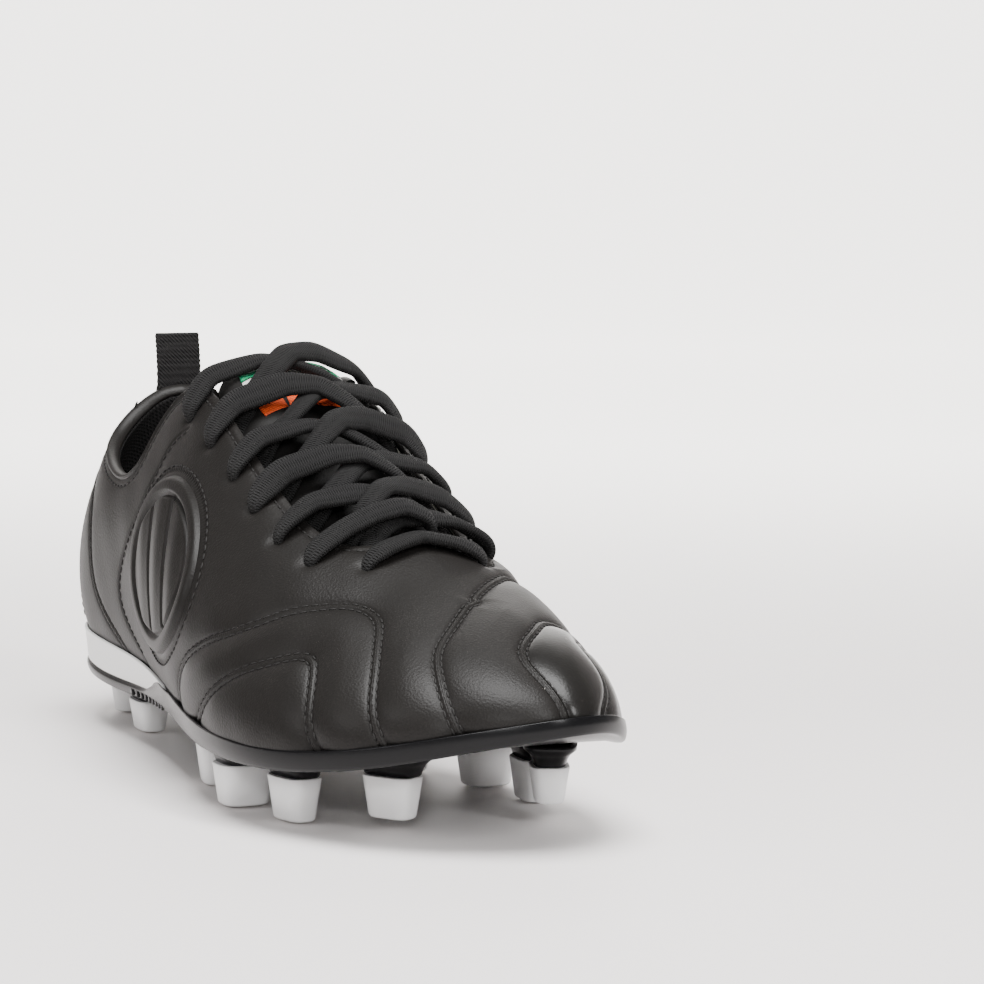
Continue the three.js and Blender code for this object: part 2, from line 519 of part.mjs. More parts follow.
// ---- lace -----------------------------------------------------------------------------------------------------------
// Way points [t, side, v, height, section], section 1 is full and 0 is drawn in through an eyelet.
const UNDER = -4.5;
const throatV = [0.84, 0.79, 0.75, 0.732, 0.73, 0.733, 0.74];
const into = (i, side) => { // over the edge, down the eyelet and back under to the throat
  const [t, v] = EYELETS[i];
  return [[t, side, v + 0.085, 2.0, 1], [t, side, v + 0.035, 2.2, 0.8], [t, side, v, 0.9, 0], [t, side, v, -3.0, 0]];
};
const out = (i, side) => {
  const [t, v] = EYELETS[i], e = i === 0 ? -0.014 : 0;
  return [[t + e, side, v + 0.035, UNDER, 0.8], [t + e * 2, side, Math.max(throatV[i], v + 0.06), UNDER, 1]];
};
const cross = (i, side, over) => { // from under one side at level i to over the other side at level i + 1
  const t0 = i ? EYELETS[i][0] : 0.716, [t1] = EYELETS[i + 1], lift = over ? 3.7 : 1.3;
  const tm = (t0 + t1) / 2, v0 = throatV[i], v1 = throatV[i + 1];
  return [
    [t0 - 0.004, side, v0 + 0.06, -1.6, 1], [t0 * 0.75 + t1 * 0.25, side, 0.915, over ? 1.8 : 0.6, 1],
    [tm, side, 0.99, lift, 1],
    [t0 * 0.25 + t1 * 0.75, -side, 0.915, over ? 3.2 : 1.6, 1], [t1, -side, v1 + 0.03, 2.3, 1],
  ];
};
function laceHalf(first) {
  const way = [];
  let side = first;
  for (let i = 0; i < 6; i++) {
    if (i) way.push(...into(i, side));
    way.push(...out(i, side), ...cross(i, side, first > 0));
    side = -side;
  }
  way.push(...into(6, side));
  const [t, v] = EYELETS[6];
  way.push([t + 0.004, side, v - 0.035, -5.2, 0.7], [t + 0.01, side, v - 0.09, -5.9, 0.8], [t + 0.02, side, v - 0.17, -6.2, 0.8], [t + 0.03, side, v - 0.26, -6.6, 0.8]);
  return way;
}
const bar = (side) => { const [t, v] = EYELETS[0]; return [[t, side, v, -3.0, 0], [t, side, v, 0.9, 0], [t, side, v + 0.05, 2.4, 0.9], [t, side, 0.9, 2.2, 1]]; };
const laceWay = [
  ...laceHalf(-1).reverse(), ...bar(-1), [EYELETS[0][0], 1, 0.9999, 2.0, 1], ...bar(1).reverse(), ...laceHalf(1),
];
const laceRings = laceWay.map(([t, side, v, h, k]) => {
  const wide = at(t + 0.01, side, v).sub(at(t - 0.01, side, v)).normalize();
  return { p: at(t, side, v, h), wide, w: 3.6 + (LACE.width - 3.6) * k, h: 2.0 + (LACE.thick - 2.0) * k };
});
pieces.set("lace", sweep(laceRings, 6));
for (const side of [1, -1]) { // the two ends lie between the tongue and the quarters
  const [t, v] = EYELETS[6], dir = at(t + 0.04, side, v - 0.4, -8).sub(at(t + 0.03, side, v - 0.26, -6.6)).normalize();
  const wide = at(t + 0.05, side, v - 0.3).sub(at(t + 0.03, side, v - 0.3)).normalize();
  const tip = (k) => ({ p: at(t + 0.03, side, v - 0.26, -6.6).addScaledVector(dir, k), wide, w: 3, h: 1.6 });
  pieces.set(side > 0 ? "aglet_medial" : "aglet_lateral", sweep([tip(0.9), tip(9), tip(18)], 8));
}

// ---- scene ------------------------------------------------------------------------------------------------------------
const LOOK = {
  leather: [0x2a2826, 0.42], textile: [0x151515, 0.9], lace: [0x1c1c1c, 0.85], lining: [0x121212, 0.85],
  board: [0x6d6a62, 0.9], plate: [0x0e0e10, 0.25], white: [0xf2f2ef, 0.4], green: [0x1c9a6b, 0.7],
  red: [0xe0491f, 0.7], aglet: [0x202020, 0.3], stiff: [0x8c8980, 0.8],
};
const KIND = [
  [/^stud|^heel_wedge|^tab_white/, "white"], [/^tab_green/, "green"], [/^tab_red/, "red"], [/^outsole/, "plate"],
  [/^lace/, "lace"], [/^aglet/, "aglet"], [/lining$|^sockliner/, "lining"], [/^insole/, "board"],
  [/^heel_counter|^toe_puff|^eyestay/, "stiff"], [/^pull_tab|^collar/, "textile"], [/./, "leather"],
];
const boot = new THREE.Group();
boot.name = "soccer_boot";
for (const [name, body] of pieces) {
  const m = body.simplify(/^lining|^outsole/.test(name) ? 0.08 : 0.03).getMesh(), flat = new Float32Array(m.triVerts.length * 3);
  m.triVerts.forEach((v, i) => flat.set(m.vertProperties.slice(v * 3, v * 3 + 3), i * 3));
  const g = new THREE.BufferGeometry().setAttribute("position", new THREE.BufferAttribute(flat, 3));
  g.computeVertexNormals();
  const [color, roughness] = LOOK[KIND.find(([k]) => k.test(name))[1]];
  const mesh = new THREE.Mesh(g, new THREE.MeshStandardMaterial({ color, roughness, metalness: 0 }));
  mesh.name = name;
  mesh.position.set(SHIFT_X, SHIFT_Y, 0);
  boot.add(mesh);
}
export default boot;
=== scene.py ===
import math
import bpy
import bmesh
import numpy as np
from mathutils import Matrix, Vector, kdtree


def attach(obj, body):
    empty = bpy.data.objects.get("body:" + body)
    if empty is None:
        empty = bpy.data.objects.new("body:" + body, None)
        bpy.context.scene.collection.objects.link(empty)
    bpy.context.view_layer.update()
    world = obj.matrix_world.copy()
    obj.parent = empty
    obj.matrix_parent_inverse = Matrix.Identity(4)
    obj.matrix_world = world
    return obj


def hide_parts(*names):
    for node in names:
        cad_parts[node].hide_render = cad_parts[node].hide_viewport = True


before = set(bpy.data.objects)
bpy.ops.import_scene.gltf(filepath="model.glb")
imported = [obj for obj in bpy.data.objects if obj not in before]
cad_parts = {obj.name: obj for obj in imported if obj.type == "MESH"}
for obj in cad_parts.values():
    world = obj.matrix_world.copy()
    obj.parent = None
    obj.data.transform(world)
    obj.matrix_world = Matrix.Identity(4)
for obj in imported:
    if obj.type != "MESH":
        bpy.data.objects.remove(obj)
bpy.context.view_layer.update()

# Studio: a pale sweep that runs level under the boot and curves up behind it into a white glow, lit by large
# soft lamps, with a long lens low in front of the boot's outer side. Nothing here belongs to the boot.
LENS_TURN, LENS_RISE, LENS_ROLL = math.radians(64.84), math.radians(5.92), math.radians(0.51)
sweep_bm = bmesh.new()
bmesh.ops.create_grid(sweep_bm, x_segments=2, y_segments=120, size=1)
LEVEL_RUN, SWEEP_BEND, HALF_WIDTH = 1.9, 0.5, 4.0
SWEEP_GLOW = 2.6
for vert in sweep_bm.verts:
    run = (vert.co.y + 1) / 2 * 8.5 - 4.5
    turned = min(max(run - LEVEL_RUN, 0) / SWEEP_BEND, math.pi / 2)
    climb = max(run - LEVEL_RUN - SWEEP_BEND * math.pi / 2, 0)
    deep = min(run, LEVEL_RUN) + SWEEP_BEND * math.sin(turned)
    side = vert.co.x * HALF_WIDTH
    vert.co = (
        side * math.cos(LENS_TURN) - deep * math.sin(LENS_TURN),
        side * math.sin(LENS_TURN) + deep * math.cos(LENS_TURN),
        SWEEP_BEND * (1 - math.cos(turned)) + climb - 0.0006)
sweep_mesh = bpy.data.meshes.new("studio sweep")
sweep_bm.to_mesh(sweep_mesh)
sweep_bm.free()
sweep_mesh.polygons.foreach_set("use_smooth", [True] * len(sweep_mesh.polygons))
sweep = bpy.data.objects.new("studio_sweep", sweep_mesh)
bpy.context.scene.collection.objects.link(sweep)
sweep_paint = bpy.data.materials.new("studio sweep paper")
sweep_paint.use_nodes = True
sweep_nodes, sweep_links = sweep_paint.node_tree.nodes, sweep_paint.node_tree.links
sweep_shader = sweep_nodes["Principled BSDF"]
sweep_shader.inputs["Base Color"].default_value = (0.86, 0.82, 0.81, 1)
sweep_shader.inputs["Roughness"].default_value = 0.6


def sweep_node(kind, *inputs, **settings):
    node = sweep_nodes.new(kind)
    for key, value in settings.items():
        setattr(node, key, value)
    for socket, value in inputs:
        if hasattr(value, "is_linked"):
            sweep_links.new(value, node.inputs[socket])
        else:
            node.inputs[socket].default_value = value
    return node


# The paper glows behind the boot and fades to plain paper at both sides, so that the sides stay dark to the
# leather.
sweep_place = sweep_node("ShaderNodeTexCoord")
sweep_turn = sweep_node("ShaderNodeMapping", ("Vector", sweep_place.outputs["Object"]),
    ("Rotation", (0, 0, -LENS_TURN)))
sweep_split = sweep_node("ShaderNodeSeparateXYZ", (0, sweep_turn.outputs[0]))
sweep_far = sweep_node(
    "ShaderNodeMapRange", ("Value", sweep_split.outputs["Y"]), ("From Min", 0.1), ("From Max", 1.1),
    interpolation_type="SMOOTHSTEP")
sweep_side = sweep_node("ShaderNodeMath", (0, sweep_split.outputs["X"]), operation="ABSOLUTE")
sweep_middle = sweep_node(
    "ShaderNodeMapRange", ("Value", sweep_side.outputs[0]), ("From Min", 0.85), ("From Max", 0.5),
    interpolation_type="SMOOTHSTEP")
sweep_glow = sweep_node("ShaderNodeMath", (0, sweep_far.outputs[0]), (1, sweep_middle.outputs[0]),
    operation="MULTIPLY")
sweep_tint = sweep_node(
    "ShaderNodeMix", ("Factor", sweep_glow.outputs[0]), ("A", (0, 0, 0, 1)), ("B", (1, 0.985, 0.95, 1)),
    data_type="RGBA")
sweep_links.new(sweep_tint.outputs["Result"], sweep_shader.inputs["Emission Color"])
sweep_shader.inputs["Emission Strength"].default_value = SWEEP_GLOW
sweep_mesh.materials.append(sweep_paint)

world = bpy.data.worlds.new("white studio")
bpy.context.scene.world = world
world.use_nodes = True
world.node_tree.nodes["Background"].inputs["Color"].default_value = (1.0, 0.985, 0.965, 1)
world.node_tree.nodes["Background"].inputs["Strength"].default_value = 0.3


def soft_light(name, place, aim, size, power):
    lamp = bpy.data.lights.new(name, "AREA")
    lamp.shape, lamp.size, lamp.size_y, lamp.energy = "RECTANGLE", size[0], size[1], power
    holder = bpy.data.objects.new(name, lamp)
    holder.location = place
    holder.rotation_euler = (Vector(aim) - Vector(place)).to_track_quat("-Z", "Y").to_euler()
    bpy.context.scene.collection.objects.link(holder)


soft_light("overhead softbox", (0.25, -0.05, 1.3), (0.0, 0.0, 0.05), (0.9, 0.9), 46)
soft_light("toe strip", (1.2, 0.35, 0.75), (0.1, 0.0, 0.05), (0.2, 0.6), 12)
soft_light("side softbox", (0.1, -1.5, 0.9), (0.0, 0.0, 0.05), (0.7, 0.5), 6)
soft_light("lens softbox", (1.25, -0.6, 0.5), (0.1, 0.0, 0.04), (0.3, 0.1), 5)

back = Vector((math.sin(LENS_TURN) * math.cos(LENS_RISE), -math.cos(LENS_TURN) * math.cos(LENS_RISE),
    math.sin(LENS_RISE)))
level = Vector((math.cos(LENS_TURN), math.sin(LENS_TURN), 0))
upright = back.cross(level)
right = math.cos(LENS_ROLL) * level + math.sin(LENS_ROLL) * upright
up = -math.sin(LENS_ROLL) * level + math.cos(LENS_ROLL) * upright
camera = bpy.data.cameras.new("long lens")
camera.lens, camera.sensor_width = 143.2, 36
camera_object = bpy.data.objects.new("long lens", camera)
bpy.context.scene.collection.objects.link(camera_object)
bpy.context.scene.camera = camera_object
stand = Vector((0.00055, 0.00647, 0.05)) + 0.04557 * right + 0.02998 * up + 1.11911 * back
camera_object.matrix_world = Matrix((
    (right.x, up.x, back.x, stand.x), (right.y, up.y, back.y, stand.y), (right.z, up.z, back.z, stand.z),
    (0, 0, 0, 1)))


# The last: the foot-shaped form that every part of the boot is shaped on, in millimetres from the heel.
# Ribs rise from the sole edge to the ridge over the foot; s runs round the sole edge (0 heel, a quarter on the
# wearer's right, a half at the toe) and v runs up each rib.
OUTER_RIBS = [
    (0.00, (1, 0, 26), (-12, 0, 54), (16, 0, 110)), (0.10, (6, -21, 26), (-4, -31, 55), (18, -12, 111)),
    (0.20, (32, -33, 25), (27, -45, 56), (37, -24, 114)), (0.32, (75, -35, 23), (72, -48, 56), (75, -31, 115)),
    (0.44, (117, -41, 21), (114, -54, 55), (112, -34, 112)),
    (0.56, (158, -50, 20), (154, -60, 49), (148, -31, 95)),
    (0.68, (197, -55, 20), (193, -63, 42), (182, -27, 77)),
    (0.78, (228, -50, 21), (224, -57, 38), (209, -26, 65)),
    (0.87, (254, -36, 25), (252, -43, 41), (231, -21, 58)),
    (0.94, (270, -18, 30), (270, -24, 44), (247, -10, 55)),
    (1.00, (279, 5, 34), (279, 2, 46), (251, 5, 54))]
INNER_RIBS = [
    (0.94, (272, 23, 33), (273, 21, 45), (249, 19, 55)), (0.87, (257, 34, 28), (256, 34, 43), (235, 28, 58)),
    (0.78, (231, 41, 24), (229, 42, 41), (213, 32, 65)), (0.68, (198, 41, 22), (194, 45, 45), (185, 31, 76)),
    (0.56, (158, 32, 23), (155, 42, 52), (149, 33, 94)), (0.44, (119, 27, 23), (115, 40, 58), (113, 38, 113)),
    (0.32, (76, 28, 24), (73, 39, 58), (75, 38, 117)), (0.20, (33, 29, 25), (29, 38, 57), (37, 30, 116)),
    (0.10, (8, 18, 26), (-1, 25, 56), (19, 14, 112))]
RIDGE = [
    (0.00, (34, 0, 122)), (0.15, (56, 0, 127)), (0.35, (95, 0, 122)), (0.55, (135, 0, 106)),
    (0.75, (174, 0, 83)), (0.90, (206, 2, 68)), (1.00, (228, 4, 61))]
MIDDLE = np.array((-139.45, 6.47, 0.0))


def smooth_curve(knots, points, closed=False):
    knots, points = np.asarray(knots, float), np.asarray(points, float)
    count = len(knots)
    gap = np.diff(knots)
    slope = np.diff(points, axis=0) / gap[:, None]
    rows = count - 1 if closed else count
    left, wanted = np.zeros((rows, rows)), np.zeros((rows, points.shape[1]))
    for i in range(rows):
        if not closed and i in (0, count - 1):
            left[i, i], left[i, 1 if i == 0 else count - 2] = 2, 1
            wanted[i] = 3 * slope[0 if i == 0 else -1]
        else:
            left[i, (i - 1) % rows] += gap[i]
            left[i, i] += 2 * (gap[i - 1] + gap[i])
            left[i, (i + 1) % rows] += gap[i - 1]
            wanted[i] = 3 * (gap[i] * slope[i - 1] + gap[i - 1] * slope[i])
    lean = np.linalg.solve(left, wanted)
    if closed:
        lean = np.vstack((lean, lean[:1]))

    def along(x):
        x = np.asarray(x, float)
        if closed:
            x = x - np.floor(x)
        i = np.clip(np.searchsorted(knots, x, side="right") - 1, 0, count - 2)
        w = gap[i][..., None]
        t = (x - knots[i])[..., None] / w
        return ((2 * t**3 - 3 * t**2 + 1) * points[i] + (t**3 - 2 * t**2 + t) * w * lean[i]
                + (3 * t**2 - 2 * t**3) * points[i + 1] + (t**3 - t**2) * w * lean[i + 1])
    return along


rib_rows = [(r[0] / 2,) + r[1:] for r in OUTER_RIBS] + [(1 - r[0] / 2,) + r[1:] for r in INNER_RIBS]
rib_rows.append((1.0,) + OUTER_RIBS[0][1:])
rib_lines = [smooth_curve([r[0] for r in rib_rows], [r[k] for r in rib_rows], True) for k in (1, 2, 3)]
ridge_line = smooth_curve([r[0] for r in RIDGE], [r[1] for r in RIDGE])


def last_point(s, v):
    v = np.asarray(v, float)[..., None]
    edge, low, high = [line(s) for line in rib_lines]
    return ((1 - v)**3 * edge + 3 * (1 - v)**2 * v * low + 3 * (1 - v) * v**2 * high
            + v**3 * ridge_line(np.sin(np.pi * np.asarray(s))**2))


def rib_normal(s, v):
    step = 1e-3
    across = last_point(s + step, v) - last_point(s - step, v)
    rising = last_point(s, v + step) - last_point(s, v - step)
    facing = np.cross(across, rising)
    return facing / np.linalg.norm(facing, axis=-1, keepdims=True)


def last_normal(s, v):
    s, v = np.broadcast_arrays(np.asarray(s, float), np.asarray(v, float))
    here = rib_normal(s, np.minimum(v, 0.98))
    both = rib_normal(s, np.full_like(v, 0.98)) + rib_normal(1 - s, np.full_like(v, 0.98))
    both /= np.linalg.norm(both, axis=-1, keepdims=True)
    w = np.clip((v - 0.9) / 0.1, 0, 1)[..., None]
    w = w * w * (3 - 2 * w)
    mixed = here * (1 - w) + both * w
    return mixed / np.linalg.norm(mixed, axis=-1, keepdims=True)


def on_last(s, v, height=0.0):
    s, v = np.broadcast_arrays(np.asarray(s, float), np.asarray(v, float))
    return last_point(s, v) + last_normal(s, v) * np.asarray(height, float)[..., None]


def eased(a, b, x):
    x = np.clip((x - a) / (b - a), 0, 1)
    return x * x * (3 - 2 * x)


def in_place(points):
    return (np.asarray(points) + MIDDLE) / 1000


def show(name, mesh, material, replaces=(), body="boot", smooth=True):
    mesh.name = name
    mesh.materials.clear()
    mesh.materials.append(material)
    mesh.polygons.foreach_set("use_smooth", [smooth] * len(mesh.polygons))
    piece = bpy.data.objects.new(name, mesh)
    bpy.context.scene.collection.objects.link(piece)
    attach(piece, body)
    if replaces:
        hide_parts(*replaces)
    return piece


def woven_grid(places, closed=False, capped=False, lay=None):
    """A grid of faces laid over rows of points in metres, its closing edges welded, with an optional UV lay."""
    places = np.asarray(places)
    rows, columns = places.shape[:2]
    bm = bmesh.new()
    bmesh.ops.create_grid(bm, x_segments=columns - 1, y_segments=rows - 1, size=1)
    bm.verts.ensure_lookup_table()
    for vert, place in zip(bm.verts, places.reshape(-1, 3)):
        vert.co = place
    if lay is not None:
        flat_lay = np.asarray(lay).reshape(-1, 2)
        layer = bm.loops.layers.uv.new("lay")
        for face in bm.faces:
            for loop in face.loops:
                loop[layer].uv = flat_lay[loop.vert.index]
    if closed:
        bmesh.ops.remove_doubles(bm, verts=bm.verts, dist=2e-6)
    if capped:
        bmesh.ops.holes_fill(bm, edges=[e for e in bm.edges if e.is_boundary], sides=0)
    bmesh.ops.recalc_face_normals(bm, faces=bm.faces)
    mesh = bpy.data.meshes.new("woven grid")
    bm.to_mesh(mesh)
    bm.free()
    return mesh


# Fine grain: the surface texture groups that the leather and the fabric use.
def texture_group(name, inputs, outputs):
    group = bpy.data.node_groups.new(name, "ShaderNodeTree")
    for label, value in inputs:
        group.interface.new_socket(label, in_out="INPUT", socket_type="NodeSocketFloat").default_value = value
    for label in outputs:
        group.interface.new_socket(label, in_out="OUTPUT", socket_type="NodeSocketFloat")
    nodes = group.nodes
    return group, nodes.new("NodeGroupInput"), nodes.new("NodeGroupOutput"), nodes, group.links


grain, grain_in, grain_out, nodes, links = texture_group(
    "leather grain", [("Cells per metre", 1500.0), ("Depth", 1.0)], ["Height", "Mottle"])
where = nodes.new("ShaderNodeTexCoord")
cells = nodes.new("ShaderNodeTexVoronoi")
cells.feature = "SMOOTH_F1"
cells.inputs["Smoothness"].default_value = 0.5
links.new(where.outputs["Object"], cells.inputs["Vector"])
links.new(grain_in.outputs["Cells per metre"], cells.inputs["Scale"])
pores = nodes.new("ShaderNodeTexNoise")
pores.inputs["Scale"].default_value = 2600
pores.inputs["Detail"].default_value = 3
links.new(where.outputs["Object"], pores.inputs["Vector"])
blotches = nodes.new("ShaderNodeTexNoise")
blotches.inputs["Scale"].default_value = 38
blotches.inputs["Detail"].default_value = 4
links.new(where.outputs["Object"], blotches.inputs["Vector"])
add = nodes.new("ShaderNodeMath")
add.operation = "MULTIPLY_ADD"
add.inputs[1].default_value = 0.35
links.new(pores.outputs["Fac"], add.inputs[0])
links.new(cells.outputs["Distance"], add.inputs[2])
deep = nodes.new("ShaderNodeMath")
deep.operation = "MULTIPLY"
links.new(add.outputs[0], deep.inputs[0])
links.new(grain_in.outputs["Depth"], deep.inputs[1])
links.new(deep.outputs[0], grain_out.inputs["Height"])
links.new(blotches.outputs["Fac"], grain_out.inputs["Mottle"])


def grained(name, colour, pale, rough, cells_per_metre, bump, mottle=0.08, sheen=0.16):
    """A material with leather grain: its colour and gloss drift a little over the surface."""
    material = bpy.data.materials.new(name)
    material.use_nodes = True
    tree = material.node_tree
    shader = tree.nodes["Principled BSDF"]
    use = tree.nodes.new("ShaderNodeGroup")
    use.node_tree = grain
    use.inputs["Cells per metre"].default_value = cells_per_metre
    tint = tree.nodes.new("ShaderNodeMix")
    tint.data_type = "RGBA"
    tint.inputs["A"].default_value = colour + (1,)
    tint.inputs["B"].default_value = pale + (1,)
    tree.links.new(use.outputs["Mottle"], tint.inputs["Factor"])
    tree.links.new(tint.outputs["Result"], shader.inputs["Base Color"])
    gloss = tree.nodes.new("ShaderNodeMapRange")
    gloss.inputs["To Min"].default_value = rough - mottle
    gloss.inputs["To Max"].default_value = rough + mottle
    tree.links.new(use.outputs["Mottle"], gloss.inputs["Value"])
    tree.links.new(gloss.outputs["Result"], shader.inputs["Roughness"])
    relief = tree.nodes.new("ShaderNodeBump")
    relief.inputs["Strength"].default_value = bump
    relief.inputs["Distance"].default_value = 0.00012
    tree.links.new(use.outputs["Height"], relief.inputs["Height"])
    tree.links.new(relief.outputs["Normal"], shader.inputs["Normal"])
    shader.inputs["Specular IOR Level"].default_value = sheen
    return material


def plain(name, colour, rough, sheen=0.5):
    material = bpy.data.materials.new(name)
    material.use_nodes = True
    shader = material.node_tree.nodes["Principled BSDF"]
    shader.inputs["Base Color"].default_value = colour + (1,)
    shader.inputs["Roughness"].default_value = rough
    shader.inputs["Specular IOR Level"].default_value = sheen
    return material


# Lines on the upper, drawn in the last's own s and v: the collar and throat rim, and the sewn joins between the
# leather panels.
TOPLINE = [
    (0, 0.7), (0.05, 0.685), (0.1, 0.63), (0.15, 0.555), (0.2, 0.5), (0.25, 0.465), (0.29, 0.465),
    (0.318, 0.51), (0.332, 0.58), (0.348, 0.66), (0.375, 0.725), (0.41, 0.745)]
THROAT = [(0.46, 0.74), (0.53, 0.73), (0.6, 0.73), (0.66, 0.745), (0.7, 0.785), (0.724, 0.85), (0.737, 0.93)]
HEEL_SEAM = [(0.105, 0.7), (0.1, 0.6), (0.118, 0.5), (0.2, 0.37), (0.236, 0.19), (0.285, 0.07), (0.34, -0.05)]
BACKSTAY = [(0.045, 0.76), (0.05, 0.6), (0.07, 0.45), (0.1, 0.3), (0.15, 0.12), (0.19, -0.05)]
MEDIAL_SEAM = [(0.5, -0.05), (0.52, 0.1), (0.58, 0.33), (0.64, 0.52), (0.7, 0.67), (0.738, 0.74), (0.74, 0.84),
    (0.722, 0.9)]
LOOP_A = [
    (0.525, -0.05), (0.56, 0.16), (0.66, 0.36), (0.714, 0.5), (0.753, 0.6), (0.79, 0.67),
    (0.828, 0.67), (0.852, 0.57), (0.867, 0.41), (0.873, 0.19), (0.88, -0.05)]
LOOP_B = [
    (0.58, -0.05), (0.655, 0.16), (0.706, 0.29), (0.747, 0.38), (0.774, 0.43), (0.794, 0.41),
    (0.806, 0.29), (0.81, 0.16), (0.818, -0.05)]
LOOP_C = [
    (0.712, -0.05), (0.683, 0.2), (0.655, 0.42), (0.628, 0.66), (0.607, 0.779), (0.591, 0.846), (0.571, 0.91),
    (0.543, 0.97), (0.505, 0.993), (0.476, 0.95), (0.468, 0.9), (0.465, 0.81), (0.463, 0.72), (0.461, 0.58),
    (0.464, 0.41), (0.467, 0.2), (0.469, -0.05)]
LOOP_D = [
    (0.64, -0.05), (0.622, 0.18), (0.6, 0.4), (0.573, 0.6), (0.545, 0.71), (0.515, 0.68),
    (0.5, 0.56), (0.5, 0.4), (0.503, 0.18), (0.503, -0.05)]
LOOP_E = [
    (0.6, -0.05), (0.594, 0.2), (0.583, 0.4), (0.57, 0.485), (0.558, 0.42), (0.5485, 0.28), (0.531, 0.1),
    (0.526, -0.05)]
PAD_CENTRE, PAD_ALONG, PAD_OVER, PAD_POWER = (0.46, 0.33), (-0.03, 0.195), (0.098, 0.09), 2.0
PAD_FOLD = [(0.418, 0.635), (0.398, 0.585), (0.38, 0.51), (0.347, 0.385), (0.316, 0.27), (0.311, 0.18),
    (0.34, 0.09), (0.4, -0.02)]


def drawn(knots, side=0, count=160):
    curve = smooth_curve(np.linspace(0, 1, len(knots)), knots)(np.linspace(0, 1, count))
    if side < 0:
        curve[:, 0] = curve[:, 0] / 2
    elif side > 0:
        curve[:, 0] = 1 - curve[:, 0] / 2
    return curve


rim_t, rim_v = smooth_curve(
    np.linspace(0, 1, len(TOPLINE + THROAT)), TOPLINE + THROAT)(np.linspace(0, 1, 500)).T
rim_t, rim_v = np.append(rim_t, 0.741), np.append(rim_v, 1.0)


def rim_height(s):
    t = np.where(s < 0.5, 2 * s, 2 - 2 * s)
    return np.where(t >= 0.741, 1.001, np.interp(t, rim_t, rim_v))


rims = [np.column_stack((rim_t / 2, rim_v)), np.column_stack((1 - rim_t / 2, rim_v))]
twin_seams = [
    drawn(HEEL_SEAM, -1), drawn(HEEL_SEAM, 1), drawn(MEDIAL_SEAM, 1, 240), drawn(LOOP_A, -1, 320),
    drawn(LOOP_B, -1, 240),
    drawn(LOOP_C, 0, 360), drawn(LOOP_D, 0, 260), drawn(LOOP_E, 0, 160)]
single_seams = [drawn(BACKSTAY, -1), drawn(BACKSTAY, 1), drawn(PAD_FOLD, -1), drawn(PAD_FOLD, 1)]


def pad_spot(up, over, side):
    """A point of the side pad's own square, from -1 to 1 each way, as s and v."""
    t = PAD_CENTRE[0] + up * PAD_ALONG[0] + over * PAD_OVER[0]
    v = PAD_CENTRE[1] + up * PAD_ALONG[1] + over * PAD_OVER[1]
    return np.where(side < 0, t / 2, 1 - t / 2), v


def pad_outline(side, size=1.0):
    turn = np.linspace(0, 2 * math.pi, 161)
    round_off = lambda q: np.sign(q) * np.abs(q)**(2 / PAD_POWER)
    return np.column_stack(pad_spot(size * round_off(np.cos(turn)), size * round_off(np.sin(turn)), side))


pad_rims = [pad_outline(-1, 1.05), pad_outline(1, 1.05)]


# Upper leather: one hide of thin black leather over foam, cut into ten panels that meet at twin-stitched joins.
# It is drawn flat in s and v, made finer near the joins, cut along them, and then laid on the last and puffed
# up between the seams.
EYELETS = [(0.756, 0.79), (0.7, 0.665), (0.645, 0.635), (0.59, 0.635), (0.535, 0.64), (0.475, 0.645),
    (0.41, 0.655)]
HIDE_START = -0.2
flat = bmesh.new()
ROUND, UP = 430, 80
TRIM_ABOVE = 0.03
FINER_WITHIN = (5.0, 2.3)
SNAP_WITHIN = 1.3
LEATHER_THICK = 0.0013
CUT_AWAY = 10
bmesh.ops.create_grid(flat, x_segments=ROUND, y_segments=UP, size=1)
for vert in flat.verts:
    vert.co = (HIDE_START + (vert.co.x + 1) / 2, (vert.co.y + 1) / 2, 0)


def wrapped(s):
    return np.where(s < 0, s + 1, s)


def finder(curves):
    """Finds how far points are from a set of drawn lines, in millimetres."""
    spots = np.vstack([last_point(c[:, 0], c[:, 1]) for c in curves])
    tree = kdtree.KDTree(len(spots))
    for i, spot in enumerate(spots):
        tree.insert(spot, i)
    tree.balance()
    return lambda points: np.array([tree.find(p)[2] for p in points])


spare = [v for v in flat.verts if v.co.y > float(rim_height(wrapped(np.array(v.co.x)))) + TRIM_ABOVE]
bmesh.ops.delete(flat, geom=spare, context="VERTS")
from_twin, from_lone, from_pad, from_rim = [finder(lines) for lines in (twin_seams, single_seams, pad_rims,
    rims)]
from_any = finder(twin_seams + single_seams + pad_rims + rims)
for reach in FINER_WITHIN:
    flat.verts.ensure_lookup_table()
    sv = np.array([v.co[:2] for v in flat.verts])
    away = from_any(last_point(wrapped(sv[:, 0]), sv[:, 1]))
    near = away < reach
    near |= (sv[:, 1] > 0.9) & (np.abs(sv[:, 0] - 0.5) < 0.13)
    flat.verts.index_update()
    edges = [e for e in flat.edges if near[e.verts[0].index] and near[e.verts[1].index]]
    bmesh.ops.subdivide_edges(flat, edges=edges, cuts=1, use_grid_fill=True)

hide = bpy.data.meshes.new("hide")
flat.to_mesh(hide)
flat.free()


def inside(points, loop):
    x, y = points[:, 0], points[:, 1]
    hit = np.zeros(len(x), bool)
    px, py = loop[-1]
    for qx, qy in loop:
        if qy != py:
            hit ^= ((py > y) != (qy > y)) & (x < (qx - px) * (y - py) / (qy - py) + px)
        px, py = qx, qy
    return hit


